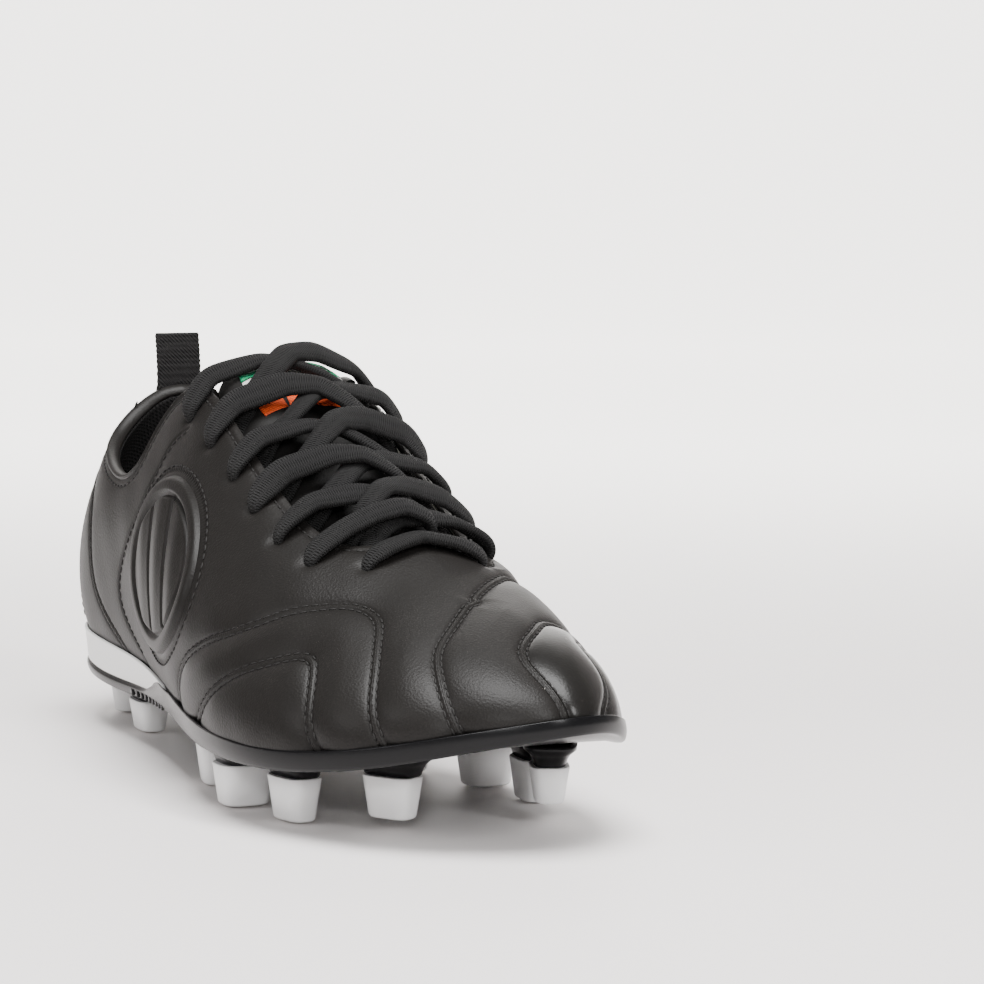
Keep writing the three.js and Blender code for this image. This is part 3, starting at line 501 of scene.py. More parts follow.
def panel_of(points):
    s, v = wrapped(points[:, 0]), points[:, 1]
    t = np.where(s < 0.5, 2 * s, 2 - 2 * s)
    spot = np.column_stack((s, v))
    by_height = lambda knots: np.interp(v, *drawn(knots)[::-1, ::-1].T)
    rising = lambda knots: np.interp(v, *drawn(knots)[:, ::-1].T)
    panel = np.zeros(len(s), int)
    panel[(s > 0.5) & (t < rising(MEDIAL_SEAM))] = 1
    panel[inside(spot, drawn(LOOP_A, -1))] = 2
    panel[inside(spot, drawn(LOOP_B, -1))] = 3
    panel[inside(spot, drawn(LOOP_C))] = 4
    panel[inside(spot, drawn(LOOP_D))] = 5
    panel[inside(spot, drawn(LOOP_E))] = 6
    panel[(t < by_height(HEEL_SEAM)) & (s < 0.5)] = 7
    panel[(t < by_height(HEEL_SEAM)) & (s > 0.5)] = 8
    panel[t < by_height(BACKSTAY)] = 9
    panel[v > rim_height(s)] = CUT_AWAY
    return panel


sv = np.empty(len(hide.vertices) * 3)
hide.vertices.foreach_get("co", sv)
sv = sv.reshape(-1, 3)[:, :2]
starts = np.empty(len(hide.polygons), int)
counts = np.empty(len(hide.polygons), int)
hide.polygons.foreach_get("loop_start", starts)
hide.polygons.foreach_get("loop_total", counts)
corner = np.empty(len(hide.loops), int)
hide.loops.foreach_get("vertex_index", corner)
face_of = np.repeat(np.arange(len(starts)), counts)
centre = np.zeros((len(starts), 2))
np.add.at(centre, face_of, sv[corner])
centre /= counts[:, None]
panels = panel_of(centre)
lowest, highest = np.full(len(sv), 99), np.full(len(sv), -1)
np.minimum.at(lowest, corner, panels[face_of])
np.maximum.at(highest, corner, panels[face_of])
edge_verts = np.where(lowest != highest)[0]
SEAM_METRIC = np.array((680.0, 125.0))
cut_lines = np.vstack([c for c in [
    drawn(HEEL_SEAM, -1, 900), drawn(HEEL_SEAM, 1, 900), drawn(BACKSTAY, -1, 900), drawn(BACKSTAY, 1, 900),
    drawn(MEDIAL_SEAM, 1, 1400), drawn(LOOP_A, -1, 2000), drawn(LOOP_B, -1, 1600), drawn(LOOP_C, 0, 2400),
    drawn(LOOP_D, 0, 1600), drawn(LOOP_E, 0, 900)] + [
    np.column_stack([np.interp(np.linspace(0, 1, 3000), np.linspace(0, 1, len(r)), r[:, k]) for k in (0,
    1)]) for r in rims]])
cut_lines = np.vstack((cut_lines, cut_lines - (1, 0)))
cut_tree = kdtree.KDTree(len(cut_lines))
for i, (a, b) in enumerate(cut_lines * SEAM_METRIC):
    cut_tree.insert((a, b, 0), i)
cut_tree.balance()
for i in edge_verts:
    a, b = sv[i] * SEAM_METRIC
    _, k, off = cut_tree.find((a, b, 0))
    if off < SNAP_WITHIN:
        sv[i] = cut_lines[k]

holes = np.array([(t / 2, w) for t, w in EYELETS] + [(1 - t / 2, w) for t, w in EYELETS])
from_hole = finder([holes])
TWIN_GAP = 1.15


def leather_height(base, s, v):
    """How far the leather stands off the last, puffed between seams and drawn down at stitches and edges."""
    twin, lone, to_pad, to_rim, to_hole = [f(base) for f in (from_twin, from_lone, from_pad, from_rim,
        from_hole)]
    t = np.where(s < 0.5, 2 * s, 2 - 2 * s)
    vamp = eased(0.42, 0.62, t)
    soft = np.minimum(np.maximum(twin - 1.7, 0), np.maximum(to_rim - 2.5, 0) * 1.2)
    lift = (0.4 + 0.95 * vamp) * (1 - np.exp(-soft / 4.0))
    lift += 0.26 * np.exp(-(twin / 0.6)**2) - 0.32 * np.exp(-((twin - TWIN_GAP) / 0.42)**2)
    lift -= 1.5 * eased(0.62, 0.93, t)
    lift += -0.36 * np.exp(-(lone / 0.75)**2) + 0.3 * (1 - np.exp(-np.maximum(lone - 0.6, 0) / 3.0)) * (1
        - vamp)
    lift += -0.5 * np.exp(-(to_pad / 1.0)**2)
    lift += -0.5 * np.exp(-(to_rim / 1.1)**2) - 0.28 * np.exp(-((to_rim - 3.0) / 0.5)**2)
    lift += -0.9 * np.exp(-(to_hole / 2.3)**2) - 0.5 * np.exp(-(v / 0.02)**2)
    x, y, z = base.T
    lift += 0.09 * (np.sin(x * 0.11 + 1.3 * np.sin(z * 0.09)) + np.sin(z * 0.17 + y * 0.13 + 2.0)
                    + 0.6 * np.sin(x * 0.31 + y * 0.23 + z * 0.19))
    return lift


s, v = wrapped(sv[:, 0]), sv[:, 1]
lift = leather_height(last_point(s, v), s, v)
hide.vertices.foreach_set("co", in_place(on_last(s, v, lift)).ravel())
hide.polygons.foreach_set("material_index", panels)

PANEL_NAMES = [
    "vamp_quarter_lateral", "quarter_medial", "vamp_lateral_inner", "vamp_lateral_outer", "vamp_medial_rear",
    "vamp_medial_front", "toe_medial", "heel_panel_lateral", "heel_panel_medial", "backstay"]
boot_leather = grained("boot leather", (0.0075, 0.0068, 0.0063), (0.0125, 0.0112, 0.0103), 0.42, 1500, 0.45,
    0.06)
toe_leather = grained("polished toe leather", (0.006, 0.0056, 0.0052), (0.010, 0.0092, 0.0085), 0.27, 1500,
    0.2, 0.04, 0.2)
whole = bmesh.new()
whole.from_mesh(hide)
bmesh.ops.delete(whole, geom=[f for f in whole.faces if f.material_index == CUT_AWAY], context="FACES")
bmesh.ops.remove_doubles(whole, verts=whole.verts, dist=8e-6)
bmesh.ops.dissolve_degenerate(whole, edges=whole.edges, dist=1e-6)
whole.to_mesh(hide)
whole.free()
for number, name in enumerate(PANEL_NAMES):
    part = bmesh.new()
    part.from_mesh(hide)
    bmesh.ops.delete(part, geom=[f for f in part.faces if f.material_index != number], context="FACES")
    loose = [q for q in part.verts if not q.link_faces]
    bmesh.ops.delete(part, geom=loose, context="VERTS")
    for face in part.faces:
        face.material_index = 0
    mesh = bpy.data.meshes.new(name)
    part.to_mesh(mesh)
    part.free()
    panel = show("leather_" + name, mesh, toe_leather if number in (5, 6) else boot_leather, (name,))
    wall = panel.modifiers.new("leather thickness", "SOLIDIFY")
    wall.thickness, wall.offset = LEATHER_THICK, -1


# Stitching: black bonded thread through every join, in twin rows either side of a lapped seam and in one row
# along folds and rims. Each stitch is a short bead that sinks into the leather at both ends.
thread = plain("bonded thread", (0.014, 0.013, 0.0125), 0.6, sheen=0.2)
STITCH, STITCH_PITCH = (1.12, 0.36, 0.30), 2.9
one_stitch = bmesh.new()
bmesh.ops.create_uvsphere(one_stitch, u_segments=6, v_segments=5, radius=1,
    matrix=Matrix.Rotation(math.pi / 2, 4, "Y"))
bead = bpy.data.meshes.new("one stitch")
one_stitch.to_mesh(bead)
one_stitch.free()
stitch_bm = bmesh.new()


def sew(curve, offset, from_edge=1.2):
    """Lays one row of stitches beside a drawn line, offset in millimetres."""
    line = last_point(curve[:, 0], curve[:, 1])
    run = np.concatenate(([0], np.cumsum(np.linalg.norm(np.diff(line, axis=0), axis=1))))
    at = np.arange(STITCH_PITCH / 2, run[-1], STITCH_PITCH)
    s, v = np.interp(at, run, curve[:, 0]), np.interp(at, run, curve[:, 1])
    ahead = np.column_stack([np.interp(at + 0.6, run, line[:, k])
        - np.interp(at - 0.6, run, line[:, k]) for k in range(3)])
    ahead /= np.linalg.norm(ahead, axis=1, keepdims=True)
    out = last_normal(s, v)
    beside = np.cross(out, ahead)
    spot = last_point(s, v) + beside * offset
    keep = (v > 0.05) & (v < rim_height(s) + 0.02) & (from_rim(spot) > from_edge)
    spot = (spot + out * (leather_height(spot, s, v) + 0.12)[:, None])[keep]
    row = bmesh.new()
    for here, d, b, n in zip(spot, ahead[keep], beside[keep], out[keep]):
        row.from_mesh(bead)
        row.verts.ensure_lookup_table()
        turn = Matrix((d * STITCH[0], b * STITCH[1], n * STITCH[2])).transposed()
        for vert in row.verts[-len(bead.vertices):]:
            vert.co = (turn @ vert.co + Vector(here)) / 1000 + Vector(MIDDLE) / 1000
    row_mesh = bpy.data.meshes.new("stitch row")
    row.to_mesh(row_mesh)
    row.free()
    stitch_bm.from_mesh(row_mesh)
    bpy.data.meshes.remove(row_mesh)


for seam in twin_seams:
    sew(seam, TWIN_GAP)
    sew(seam, -TWIN_GAP)
sew(drawn(BACKSTAY, -1), 1.3)
sew(drawn(BACKSTAY, 1), -1.3)
for side in (-1, 1):
    sew(drawn(PAD_FOLD, side), 1.2)
    sew(pad_outline(side, 1.05), -1.1 * side)
    edge = np.column_stack((rim_t[:-1] / 2 if side < 0 else 1 - rim_t[:-1] / 2, rim_v[:-1]))
    sew(edge, 3.0 if side > 0 else -3.0, 2.5)
bmesh.ops.recalc_face_normals(stitch_bm, faces=stitch_bm.faces)
stitches = bpy.data.meshes.new("stitches")
stitch_bm.to_mesh(stitches)
stitch_bm.free()
show("stitching", stitches, thread)


# Heel mark: eight slanted white bars of raised print up the middle of the backstay.
print_white = plain("raised white print", (0.80, 0.80, 0.78), 0.5)
bars = bmesh.new()
for number in range(8):
    mid = 0.135 + number * 0.052
    grid = bmesh.ops.create_grid(bars, x_segments=10, y_segments=5, size=1)["verts"]
    spots = np.array([(q.co.x * 0.0148, mid + q.co.y * 0.017 + q.co.x * 0.012) for q in grid])
    s = wrapped(spots[:, 0])
    base = last_point(s, spots[:, 1])
    for vert, place in zip(grid,
        in_place(on_last(s, spots[:, 1], leather_height(base, s, spots[:, 1]) + 0.22))):
        vert.co = place
bmesh.ops.recalc_face_normals(bars, faces=bars.faces)
bar_mesh = bpy.data.meshes.new("heel bars")
bars.to_mesh(bar_mesh)
bars.free()
heel_bars = show("heel_bars", bar_mesh, print_white)
bar_depth = heel_bars.modifiers.new("print thickness", "SOLIDIFY")
bar_depth.thickness, bar_depth.offset = 0.0003, -1


# Side pads: a rounded leather badge over foam on each side, sewn down round its edge, with an inner line and
# two sewn channels that leave three long padded ribs inside a padded ring.
for side, name in ((-1, "side_pad_lateral"), (1, "side_pad_medial")):
    count = 121
    x, y = np.meshgrid(np.linspace(-1, 1, count), np.linspace(-1, 1, count))
    square = np.maximum(np.abs(x), np.abs(y))
    round_norm = np.maximum((np.abs(x)**PAD_POWER + np.abs(y)**PAD_POWER)**(1 / PAD_POWER), 1e-9)
    over, along = x / round_norm * square, y / round_norm * square
    s, v = pad_spot(along, over, side)
    centre = last_point(*pad_spot(0.0, 0.0, side))
    half_long = np.linalg.norm(last_point(*pad_spot(1.0, 0.0, side)) - centre)
    half_wide = np.linalg.norm(last_point(*pad_spot(0.0, 1.0, side)) - centre)
    reach = np.maximum(square, 1e-6)
    slope = np.hypot((np.abs(along) / reach)**(PAD_POWER - 1) / half_long,
        (np.abs(over) / reach)**(PAD_POWER - 1) / half_wide)
    inset = (1 - square) / np.maximum(slope, 1e-6)
    ring = 7.0
    inner = np.clip((inset - ring) / 1.5, 0, 1)
    across = np.abs(over) * half_wide
    channel = (half_wide - ring) / 3.2
    high = 0.25 + 2.1 * (1 - np.exp(-(inset / 1.5)**2))
    high += 0.35 * np.sin(np.clip(inset / ring, 0, 1) * math.pi)
    high -= 1.35 * np.exp(-((inset - ring) / 0.75)**2)
    high -= 1.2 * inner * np.exp(-((across - channel) / 0.7)**2)
    high += 0.25 * inner * np.cos(across / channel * math.pi)
    badge = show("badge_" + name, woven_grid(in_place(on_last(s, v, high))), boot_leather, (name,))
    skin = badge.modifiers.new("badge thickness", "SOLIDIFY")
    skin.thickness, skin.offset = 0.0004, -1


# Collar binding: a folded strip of soft leather rolled over the ankle opening's edge, from the top of one
# lace row round the heel to the other.
def tube(centres, wide, high, out_dirs, count=14, power=1.0, capped=True):
    """Sweeps an oval along rows of points in millimetres; out_dirs point through the oval's short way."""
    ahead = np.gradient(centres, axis=0)
    ahead /= np.linalg.norm(ahead, axis=1, keepdims=True)
    out = out_dirs - ahead * np.sum(out_dirs * ahead, axis=1, keepdims=True)
    out /= np.linalg.norm(out, axis=1, keepdims=True)
    beside = np.cross(ahead, out)
    angle = np.linspace(0, 2 * math.pi, count + 1)
    round_off = lambda q: np.sign(q) * np.abs(q)**power
    wide, high = np.broadcast_to(wide, len(centres)), np.broadcast_to(high, len(centres))
    rings = (centres[:, None]
        + beside[:, None] * (round_off(np.cos(angle))[None, :] * wide[:, None] / 2)[..., None]
             + out[:, None] * (round_off(np.sin(angle))[None, :] * high[:, None] / 2)[..., None])
    run = np.concatenate(([0], np.cumsum(np.linalg.norm(np.diff(centres, axis=0), axis=1))))
    lay = np.stack(np.broadcast_arrays(run[:, None] / 1000, angle[None, :] / (2 * math.pi) * 0.02), axis=-1)
    return woven_grid(in_place(rings), closed=True, capped=capped, lay=lay)


collar = np.linspace(-0.205, 0.205, 260)
collar_s = wrapped(collar)
collar_v = rim_height(collar_s)
binding = tube(on_last(collar_s, collar_v, -1.5), 2.6, 4.4, last_normal(collar_s, collar_v), 16)
show("collar_roll", binding, boot_leather, ("collar_binding",))


# Lining: black spacer mesh over collar foam, lasted inside the whole upper.
weave, weave_in, weave_out, nodes, links = texture_group(
    "woven threads", [("Threads one way", 5000.0), ("Threads the other way", 5000.0)], ["Height"])
socket = weave.interface.new_socket("Place", in_out="INPUT", socket_type="NodeSocketVector")
split = nodes.new("ShaderNodeSeparateXYZ")
links.new(weave_in.outputs["Place"], split.inputs[0])


def node_maths(operation, first, second=None):
    node = nodes.new("ShaderNodeMath")
    node.operation = operation
    for k, value in enumerate((first, second)):
        if value is None:
            continue
        if isinstance(value, (int, float)):
            node.inputs[k].default_value = value
        else:
            links.new(value, node.inputs[k])
    return node.outputs[0]


one_way = node_maths("MULTIPLY", split.outputs["X"], weave_in.outputs["Threads one way"])
other_way = node_maths("MULTIPLY", node_maths("ADD", split.outputs["Y"], split.outputs["Z"]),
    weave_in.outputs["Threads the other way"])
warp = node_maths("SINE", node_maths("ADD", one_way, other_way))
weft = node_maths("SINE", node_maths("SUBTRACT", one_way, other_way))
links.new(node_maths("MAXIMUM", warp, weft), weave_out.inputs["Height"])


def woven(name, colour, rough, one_way, other_way, depth, bump, place="Object", sheen=0.2):
    """A fabric material: its threads cross each other over the piece, or along its own lay, with painted shade
    in the hollows between them.
    """
    material = bpy.data.materials.new(name)
    material.use_nodes = True
    tree = material.node_tree
    shader = tree.nodes["Principled BSDF"]
    if place == "Object":
        source = tree.nodes.new("ShaderNodeTexCoord").outputs["Object"]
    else:
        uv = tree.nodes.new("ShaderNodeUVMap")
        uv.uv_map = place
        source = uv.outputs["UV"]
    use = tree.nodes.new("ShaderNodeGroup")
    use.node_tree = weave
    use.inputs["Threads one way"].default_value = one_way
    use.inputs["Threads the other way"].default_value = other_way
    tree.links.new(source, use.inputs["Place"])
    relief = tree.nodes.new("ShaderNodeBump")
    relief.inputs["Strength"].default_value = bump
    relief.inputs["Distance"].default_value = depth
    tree.links.new(use.outputs["Height"], relief.inputs["Height"])
    tree.links.new(relief.outputs["Normal"], shader.inputs["Normal"])
    # Painted shade: the colour falls to 0.45 of the thread colour where the weave is low, as shade in the
    # hollows between the threads.
    tint = tree.nodes.new("ShaderNodeMix")
    tint.data_type = "RGBA"
    tint.inputs["A"].default_value = tuple(c * 0.45 for c in colour) + (1,)
    tint.inputs["B"].default_value = colour + (1,)
    tree.links.new(use.outputs["Height"], tint.inputs["Factor"])
    tree.links.new(tint.outputs["Result"], shader.inputs["Base Color"])
    shader.inputs["Roughness"].default_value = rough
    shader.inputs["Specular IOR Level"].default_value = sheen
    return material


spacer_mesh = woven("black spacer mesh", (0.016, 0.015, 0.015), 0.85, 3600, 3600, 0.0003, 0.8)
lining_s = np.linspace(0, 1, 421)
lining_k = np.linspace(0, 1, 64)
lining_top = np.minimum(rim_height(lining_s) - 0.006, 0.97)
grid_v = lining_k[:, None] * lining_top[None, :]
grid_s = np.broadcast_to(lining_s[None, :], grid_v.shape)
lining_mesh = woven_grid(in_place(on_last(grid_s, grid_v, -3.3 - 0.4 * np.sin(lining_k * math.pi)[:, None])),
    closed=True)
lining = show("foot_lining", lining_mesh, spacer_mesh, ("lining",))
lining_wall = lining.modifiers.new("lining thickness", "SOLIDIFY")
lining_wall.thickness, lining_wall.offset = 0.0008, -1


# Sole: a stiff moulded plate in glossy black nylon, cemented under the upper with a raised lip round it, with a
# white wedge over it at the heel.
PLATE_THICK, LIP, LIP_GAP, WEDGE = 3.0, 0.035, 0.75, 6.8
gloss_black = plain("glossy black nylon", (0.004, 0.004, 0.0045), 0.24, sheen=0.18)
gloss_white = plain("white moulded foam", (0.84, 0.84, 0.83), 0.35)


def sole_edge(s, out, rise):
    s = np.asarray(s, float)
    along = rib_lines[0](s + 1e-3) - rib_lines[0](s - 1e-3)
    outward = np.column_stack((along[:, 1], -along[:, 0], np.zeros(len(s))))
    outward /= np.linalg.norm(outward, axis=1, keepdims=True)
    return rib_lines[0](s) + outward * np.reshape(out, (-1, 1)) + np.column_stack((0 * s, 0 * s, rise + 0 * s))


def softened(corners, radii):
    """A closed outline of moving corners with each corner turned into a small bend."""
    made = []
    for i, corner in enumerate(corners):
        before, after = corners[i - 1], corners[(i + 1) % len(corners)]
        legs = [np.linalg.norm(q - corner, axis=1, keepdims=True) for q in (before, after)]
        cuts = [np.minimum(radii[i] / np.maximum(leg, 1e-6), 0.45) for leg in legs]
        a, b = corner + (before - corner) * cuts[0], corner + (after - corner) * cuts[1]
        for w in (0, 0.33, 0.67, 1):
            made.append(a * (1 - w)**2 + corner * 2 * w * (1 - w) + b * w * w)
    return made


def moulded(profile, radii, stations, crown=0.0):
    """A sole layer: one side's corners, mirrored to the other side, swept from heel to toe."""
    near, far = profile(stations / 2, stations), profile(1 - stations / 2, stations)
    ring = softened(near + far[::-1], radii + radii[::-1])
    half = len(ring) // 2
    fill = []
    for k in np.linspace(0, 1, 10)[1:-1]:
        fill.append(ring[half - 1] * (1 - k) + ring[half] * k + np.array((0, 0, crown * 4 * k * (1 - k))))
    top = [ring[-1] * (1 - k) + ring[0] * k for k in np.linspace(0, 1, 10)[1:-1]]
    rows = ring[:half] + fill + ring[half:] + top + ring[:1]
    return woven_grid(in_place(np.stack(rows, axis=1)), closed=True, capped=True)


def wedge_depth(t):
    return WEDGE * eased(0.49, 0.22, t)**0.7


def wedge_corners(s, t):
    w = wedge_depth(t)
    lip = np.full(len(s), LIP)
    return [sole_edge(s, LIP_GAP, -0.5), on_last(s, lip, LIP_GAP), on_last(s, lip, 1.7),
            sole_edge(s, 2.3, -1.0), sole_edge(s, 1.7, -0.1 - w)]


def plate_corners(s, t):
    """Behind the arch the plate ends under the wedge; there its rim climbs over the wedge's tip to the lip."""
    w = (wedge_depth(t) + 0.1) * eased(0.49, 0.44, t)
    climb = eased(0.34, 0.45, t)[:, None]
    past = eased(0.45, 0.49, t)[:, None]
    lip, tuck = np.full(len(s), LIP), 1.1 * eased(0.58, 0.9, t)
    inner = sole_edge(s, LIP_GAP + 0.2, -0.08 - w) * (1 - climb) + on_last(s, lip, 1.8) * climb
    inner = inner * (1 - past) + on_last(s, lip, LIP_GAP - tuck) * past
    outer = sole_edge(s, 1.4, -0.08 - w) * (1 - climb) + on_last(s, lip, 2.15) * climb
    outer = outer * (1 - past) + on_last(s, lip, 1.6 - tuck) * past
    return [sole_edge(s, LIP_GAP - tuck, -0.1 - w), inner, outer,
            sole_edge(s, 2.3 - 1.3 * tuck + 0.4 * climb[:, 0] * (1 - past[:, 0]), -1.2 - w),
            sole_edge(s, 1.5 - tuck, -4.0 - w), sole_edge(s, -3.5, -0.1 - w - PLATE_THICK)]


toe_to_heel = 1 - np.cos(np.linspace(0, math.pi, 240))
stations = np.sort(np.concatenate((toe_to_heel / 2, np.linspace(0.44, 0.52, 25))))
stations = stations[np.concatenate(([True], np.diff(stations) > 1e-5))]
wedge_mesh = moulded(wedge_corners, [0.2, 0.3, 0.35, 0.8, 0.4], stations[stations <= 0.452])
show("white_heel_wedge", wedge_mesh, gloss_white, ("heel_wedge",))

# Studs: twelve white nylon studs, ten of them blades and two round ones under the ball of the foot, each on a
# black pedestal that is moulded with the plate.
STUDS = [
    ("stud_front_lateral", 229, -20, 3, 8.2, 4.6, 30), ("stud_front_medial", 233, 24, 5, 8.2, 4.6, -22),
    ("stud_second_lateral", 207, -39, 0, 8.2, 4.6, 12), ("stud_second_medial", 204, 33, 0, 8.2, 4.6, -6),
    ("stud_third_lateral", 180, -43, 0, 7.2, 7.2, 0), ("stud_third_medial", 178, 31, 0, 7.2, 7.2, 0),
    ("stud_rear_lateral", 146, -38, 0, 8.0, 4.6, -14), ("stud_rear_medial", 148, 20, 0, 8.0, 4.6, 16),
    ("stud_heel_lateral", 54, -24, 0, 8.2, 4.6, -4), ("stud_heel_medial", 54, 20, 0, 8.2, 4.6, 4),
    ("stud_back_lateral", 15, -16, 0, 8.2, 4.6, -38), ("stud_back_medial", 15, 14, 0, 8.2, 4.6, 38)]
under = smooth_curve([0, 40, 90, 130, 170, 205, 235, 279],
    np.array([[13.6, 13.0, 12.2, 14.4, 14.8, 15.0, 18.6, 28]]).T)
PEDESTAL = 3.0
stud_white = plain("white stud nylon", (0.86, 0.86, 0.86), 0.42)


def stud_form(x, y, levels, turn):
    """Rings of (height, half length, half width) turned about the stud's own axis."""
    angle = np.linspace(0, 2 * math.pi, 41)
    round_off = lambda q: np.sign(q) * np.abs(q)**0.62
    c, d = math.cos(math.radians(turn)), math.sin(math.radians(turn))
    rings = []
    for z, a, b in levels:
        px, py = a * round_off(np.cos(angle)), b * round_off(np.sin(angle))
        rings.append(np.column_stack((x + c * px - d * py, y + d * px + c * py, np.full(41, z))))
    return woven_grid(in_place(np.array(rings)), closed=True, capped=True)


plate_mesh = moulded(plate_corners, [0.1, 0.15, 0.35, 0.8, 1.2, 1.5], stations, 0.8)
plate_bm = bmesh.new()
plate_bm.from_mesh(plate_mesh)
for name, x, y, lift, a, b, turn in STUDS:
    top = float(under(x)[0]) - PEDESTAL
    a0, b0, high = a - 2.2, b - 1.1, top - 0.1 - lift
    grow = lambda z, k=0.0: (lift + z, a0 + k + 0.4 + 1.6 * z / high, b0 + k + 0.4 + 1.6 * z / high)
    form = stud_form(x, y, [grow(0, -1.1), grow(0.12, -0.6), grow(0.45, -0.15), grow(0.9), grow(high * 0.5),
        grow(high - 0.3),
                            grow(high, -0.3)], turn)
    show("white_" + name, form, stud_white, (name,))
    foot = stud_form(x, y, [(top, a - 0.5, b - 0.5), (top + 0.3, a - 0.2, b - 0.2),
        (top + 2.0, a + 0.3, b + 0.3),
                            (top + 3.2, a + 1.0, b + 1.0), (top + 4.6, a + 2.6, b + 2.6),
                            (top + 6.2, a + 2.8, b + 2.8)], turn)
    plate_bm.from_mesh(foot)
    bpy.data.meshes.remove(foot)

# Ribs moulded on the plate's side under the arch, in place of lettering.
for side in (-1, 1):
    for k in range(9):
        t = 0.32 + k * 0.015
        s = np.array([t / 2 if side < 0 else 1 - t / 2])
        w = float(wedge_depth(np.array(t))) + 0.1
        here = sole_edge(s, 1.7, -2.3 - w)[0]
        step = sole_edge(s + 1e-3, 1.75, -2.3 - w)[0] - here
        turn = math.atan2(step[1], step[0])
        block = bmesh.ops.create_cube(plate_bm, size=0.001, matrix=Matrix.Translation(in_place(here))
                                      @ Matrix.Rotation(turn, 4, "Z") @ Matrix.Diagonal((2.6, 1.6, 1.9, 1)))
        bmesh.ops.bevel(plate_bm, geom=list({e for q in block["verts"] for e in q.link_edges}), offset=0.00035,
                        offset_type="OFFSET", segments=2, profile=0.5, affect="EDGES", material=-1)
bmesh.ops.recalc_face_normals(plate_bm, faces=plate_bm.faces)
plate_bm.to_mesh(plate_mesh)
plate_bm.free()
show("sole_plate", plate_mesh, gloss_black, ("outsole_plate",))


# Tongue: soft leather over foam, faced inside with spacer mesh, lying under the laces; a three-colour ribbon is
# sewn across its top. With no foot in the boot, the tongue and the laces sink a little between the quarters.
TONGUE_SINKS = 5.0


def settled(s, v, height):
    t = np.where(s < 0.5, 2 * s, 2 - 2 * s)
    return on_last(s, v, height - TONGUE_SINKS * eased(0.74, 0.5, t) * eased(0.76, 1.0, v))


def tongue_spot(t, u):
    half = 0.44 - 0.24 * eased(0.45, 0.79, t) - 0.05 * eased(0.46, 0.4, t)
    return np.where(u < 0, t / 2, 1 - t / 2), 1 - np.abs(u) * half


tongue_leather_look = grained("soft tongue leather", (0.006, 0.0056, 0.0053), (0.010, 0.0095, 0.009), 0.6,
    1700, 0.4)
tongue_t, tongue_u = np.meshgrid(np.linspace(0.398, 0.79, 120), np.linspace(-1, 1, 82), indexing="ij")
s, v = tongue_spot(tongue_t, tongue_u)
rounded_end = -1.6 * (1 - np.sqrt(1 - np.clip((0.406 - tongue_t) / 0.008, 0, 0.98)**2))
rounded_side = -1.4 * (1 - np.sqrt(1 - np.clip((np.abs(tongue_u) - 0.94) / 0.06, 0, 0.98)**2))


def swell(t, u):
    """The tongue stands up between the laced quarters, most of all at its free end."""
    return 3.2 * eased(0.72, 0.45, np.abs(u)) * eased(0.55, 0.42, t) + 0.35 * np.sin(t * 90) * np.cos(u * 2.2)


billow = swell(tongue_t, tongue_u) + 0.25 * np.sin(tongue_u * 9 + tongue_t * 20)
tongue = show("tongue_face", woven_grid(in_place(settled(s, v, -6.2 + billow + rounded_end + rounded_side))),
              tongue_leather_look, ("tongue_leather",), "tongue")
tongue_foam = tongue.modifiers.new("leather and foam", "SOLIDIFY")
tongue_foam.thickness, tongue_foam.offset = 0.0014, -1
tongue_back = show("tongue_back",
    woven_grid(in_place(settled(s, v, -8.0 + swell(tongue_t, tongue_u) + 0.6 * (rounded_end + rounded_side)))),
                   spacer_mesh, ("tongue_lining",), "tongue")
tongue_mesh_wall = tongue_back.modifiers.new("mesh thickness", "SOLIDIFY")
tongue_mesh_wall.thickness, tongue_mesh_wall.offset = 0.0012, -1
for node, colour, a, b in (("tab_green", (0.01, 0.30, 0.13), 0.405, 0.434),
    ("tab_white", (0.75, 0.75, 0.72), 0.437, 0.462),
                           ("tab_red", (0.75, 0.09, 0.02), 0.465, 0.494)):
    ribbon_t, ribbon_u = np.meshgrid(np.linspace(a, b, 12), np.linspace(-0.42, 0.42, 40), indexing="ij")
    s, v = tongue_spot(ribbon_t, ribbon_u)
    ribbon = show("ribbon_" + node, woven_grid(in_place(settled(s, v, -5.2 + swell(ribbon_t, ribbon_u)))),
                  woven(node + " ribbon", colour, 0.75, 9000, 2500, 0.0001, 0.5), (node,), "tongue")
    ribbon_wall = ribbon.modifiers.new("ribbon thickness", "SOLIDIFY")
    ribbon_wall.thickness, ribbon_wall.offset = 0.0007, -1


# Lace: one flat-oval braided lace, about 1.02 m along its drawn path, through seven pairs of eyelets, with its
# two ends tucked between the tongue and the quarters.
LACE_WIDE, LACE_THICK = 8.2, 3.4
THROAT_V = [0.84, 0.79, 0.75, 0.732, 0.73, 0.733, 0.74]


def over_edge(i, side):
    t, v = EYELETS[i]
    return [(t, side, v + 0.085, 2.7, 1), (t, side, v + 0.035, 2.7, 0.85), (t, side, v, 1.0, 0.1),
        (t, side, v, -3.0, 0)]


def back_up(i, side):
    t, v = EYELETS[i]
    e = -0.014 if i == 0 else 0
    return [(t + e, side, v + 0.035, -4.3, 0.7), (t + e * 2, side, max(THROAT_V[i], v + 0.06), -4.3, 0.8)]


def crossing(i, side, over):
    t0, t1 = EYELETS[i][0] if i else 0.716, EYELETS[i + 1][0]
    lift = 5.0 if over else 1.5
    return [(t0 - 0.004, side, THROAT_V[i] + 0.06, -1.6, 0.9),
        (t0 * 0.75 + t1 * 0.25, side, 0.915, 3.0 if over else 0.8, 1),
            ((t0 + t1) / 2, side, 0.99, lift, 1),
            (t0 * 0.25 + t1 * 0.75, -side, 0.915, 4.0 if over else 2.0, 1),
            (t1, -side, THROAT_V[i + 1] + 0.03, 2.9, 1)]


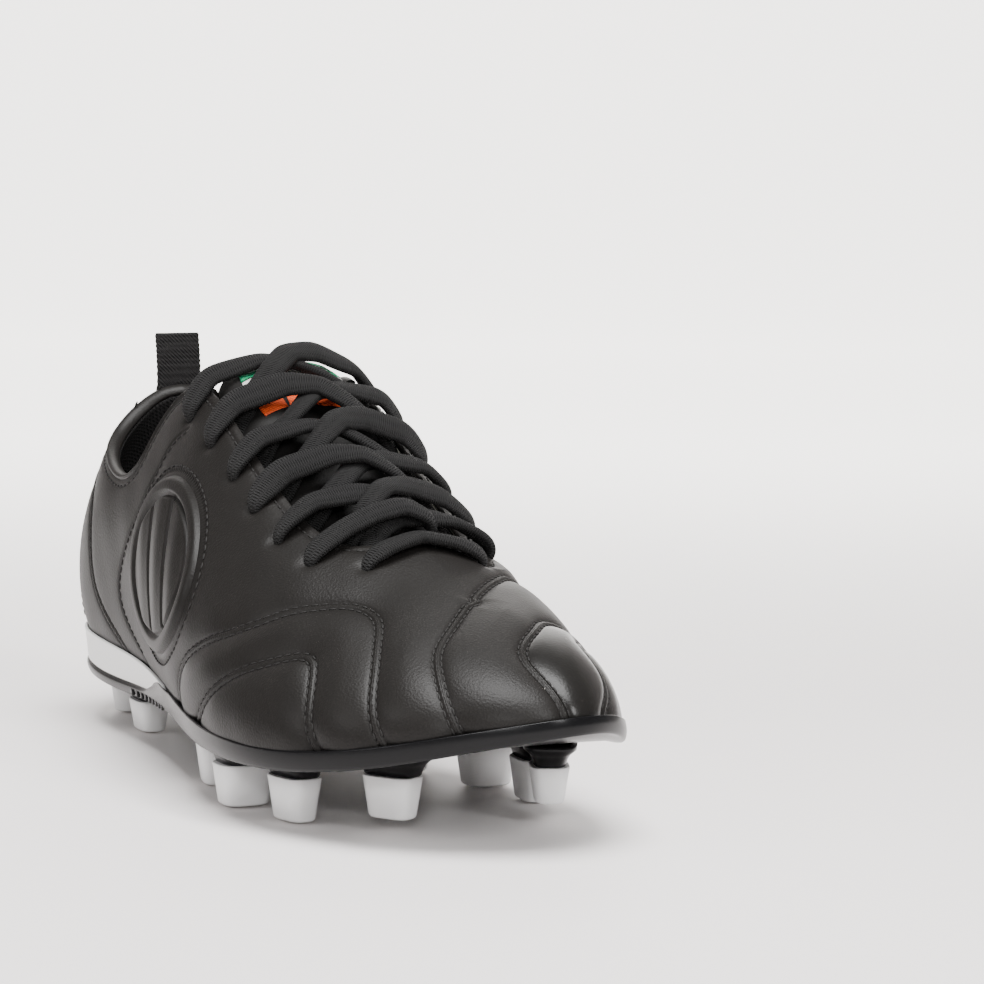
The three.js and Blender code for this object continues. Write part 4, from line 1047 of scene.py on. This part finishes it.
def lace_half(first):
    way, side = [], first
    for i in range(6):
        if i:
            way += over_edge(i, side)
        way += back_up(i, side) + crossing(i, side, first > 0)
        side = -side
    way += over_edge(6, side)
    t, v = EYELETS[6]
    return way + [(t + 0.004, side, v - 0.035, -5.0, 0.5), (t + 0.01, side, v - 0.09, -5.7, 0.5),
                  (t + 0.02, side, v - 0.17, -6.0, 0.4), (t + 0.03, side, v - 0.26, -6.4, 0.3)]


def front_bar(side):
    t, v = EYELETS[0]
    return [(t, side, v, -3.0, 0), (t, side, v, 1.0, 0.1), (t, side, v + 0.05, 2.6, 0.95),
        (t, side, 0.9, 2.6, 1)]


way = np.array(lace_half(-1)[::-1] + front_bar(-1) + [(EYELETS[0][0], 1, 0.9999, 2.5, 1)] + front_bar(1)[::-1]
    + lace_half(1))
way_s = np.where(way[:, 1] < 0, way[:, 0] / 2, 1 - way[:, 0] / 2)
knots = settled(way_s, way[:, 2], way[:, 3])
facing = last_normal(way_s, way[:, 2])
run = np.concatenate(([0], np.cumsum(np.linalg.norm(np.diff(knots, axis=0), axis=1))))
fine = np.arange(0, run[-1], 0.7)


def eased_along(values, reach):
    """Values at the way points, drawn out evenly along the lace and smoothed over a few millimetres."""
    values = np.column_stack([np.interp(fine, run, column) for column in np.reshape(values, (len(run), -1)).T])
    kernel = np.exp(-(np.arange(-14, 15) * 0.7 / reach)**2 / 2)
    padded = np.pad(values, ((14, 14), (0, 0)), mode="edge")
    return np.column_stack([np.convolve(column, kernel / kernel.sum(), "valid") for column in padded.T])


line = eased_along(knots, 1.9)
outward = eased_along(facing, 3.5)
full = eased_along(way[:, 4], 1.6)[:, 0]
full = full * (1 + 0.05 * np.sin(fine * 0.21) + 0.04 * np.sin(fine * 0.083 + 1))
twist = 0.3 * np.sin(fine * 0.047) + 0.2 * np.sin(fine * 0.113 + 2)
ahead = np.gradient(line, axis=0)
ahead /= np.linalg.norm(ahead, axis=1, keepdims=True)
outward += np.cross(ahead, outward) * twist[:, None]
braid = woven("black braided lace", (0.012, 0.0115, 0.0115), 0.8, 9000, 1257, 0.0003, 1.0, "lay", 0.25)
show("braided_lace", tube(line, 3.4 + (LACE_WIDE - 3.4) * full, 2.2 + (LACE_THICK - 2.2) * full, outward, 20,
    0.9),
     braid, ("lace",))


# Pull tab: a folded loop of ribbed webbing that stands up from the heel, sewn down on the backstay.
webbing = woven("ribbed webbing", (0.014, 0.013, 0.013), 0.85, 2600, 5200, 0.0003, 0.9)
foot_of_tab = last_point(0.0, 0.7)
tab_out = last_normal(0.0, 0.68)
climb = np.linspace(0, 1, 60)
rise, lean = np.interp(climb, (0, 0.3, 0.65, 1), (-1.6, 5, 10, 14.4)), np.interp(climb, (0, 0.3, 0.65, 1),
    (0, 0.4, 1.4, 2.8))
strip = foot_of_tab + tab_out * (1.6 + lean)[:, None] + np.column_stack((0 * rise, 0 * rise, rise))
ridges = 0.16 * np.cos(climb * 60)
taper = np.sqrt(np.clip((1 - climb) / 0.06, 0.02, 1))
loop = tube(strip, 14.0 + ridges, (2.7 + ridges) * taper, np.tile(tab_out, (60, 1)), 28, 0.45)
show("heel_pull_loop", loop, webbing, ("pull_tab",), "pull_tab")
anchor_v = np.linspace(0.56, 0.7, 40)
anchor_s = np.zeros(40)
anchor_line = on_last(anchor_s, anchor_v, 1.25 - 0.5 * eased(0.58, 0.56, anchor_v))
anchor = tube(anchor_line, 14.4, 1.4, last_normal(anchor_s, anchor_v), 28, 0.4)
show("pull_loop_anchor", anchor, webbing, ("pull_tab_anchor",))

# Inside and hidden: the sockliner, the board, the stiffeners at heel and toe, the lace stays and the lace tips
# keep their worked-out shapes and get their own materials.
fleece = woven("sockliner fleece", (0.03, 0.03, 0.032), 0.9, 2400, 2400, 0.0002, 0.6)
fibreboard = plain("fibre board", (0.18, 0.16, 0.13), 0.85)
stiff_sheet = plain("stiffener sheet", (0.25, 0.24, 0.21), 0.8)
lace_tip = plain("lace tip film", (0.01, 0.01, 0.01), 0.2)
for node, material in (("sockliner", fleece), ("insole_board", fibreboard), ("heel_counter", stiff_sheet),
    ("toe_puff", stiff_sheet),
                       ("eyestay_lateral", stiff_sheet), ("eyestay_medial", stiff_sheet),
                       ("aglet_lateral", lace_tip),
                       ("aglet_medial", lace_tip)):
    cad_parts[node].material_slots[0].material = material
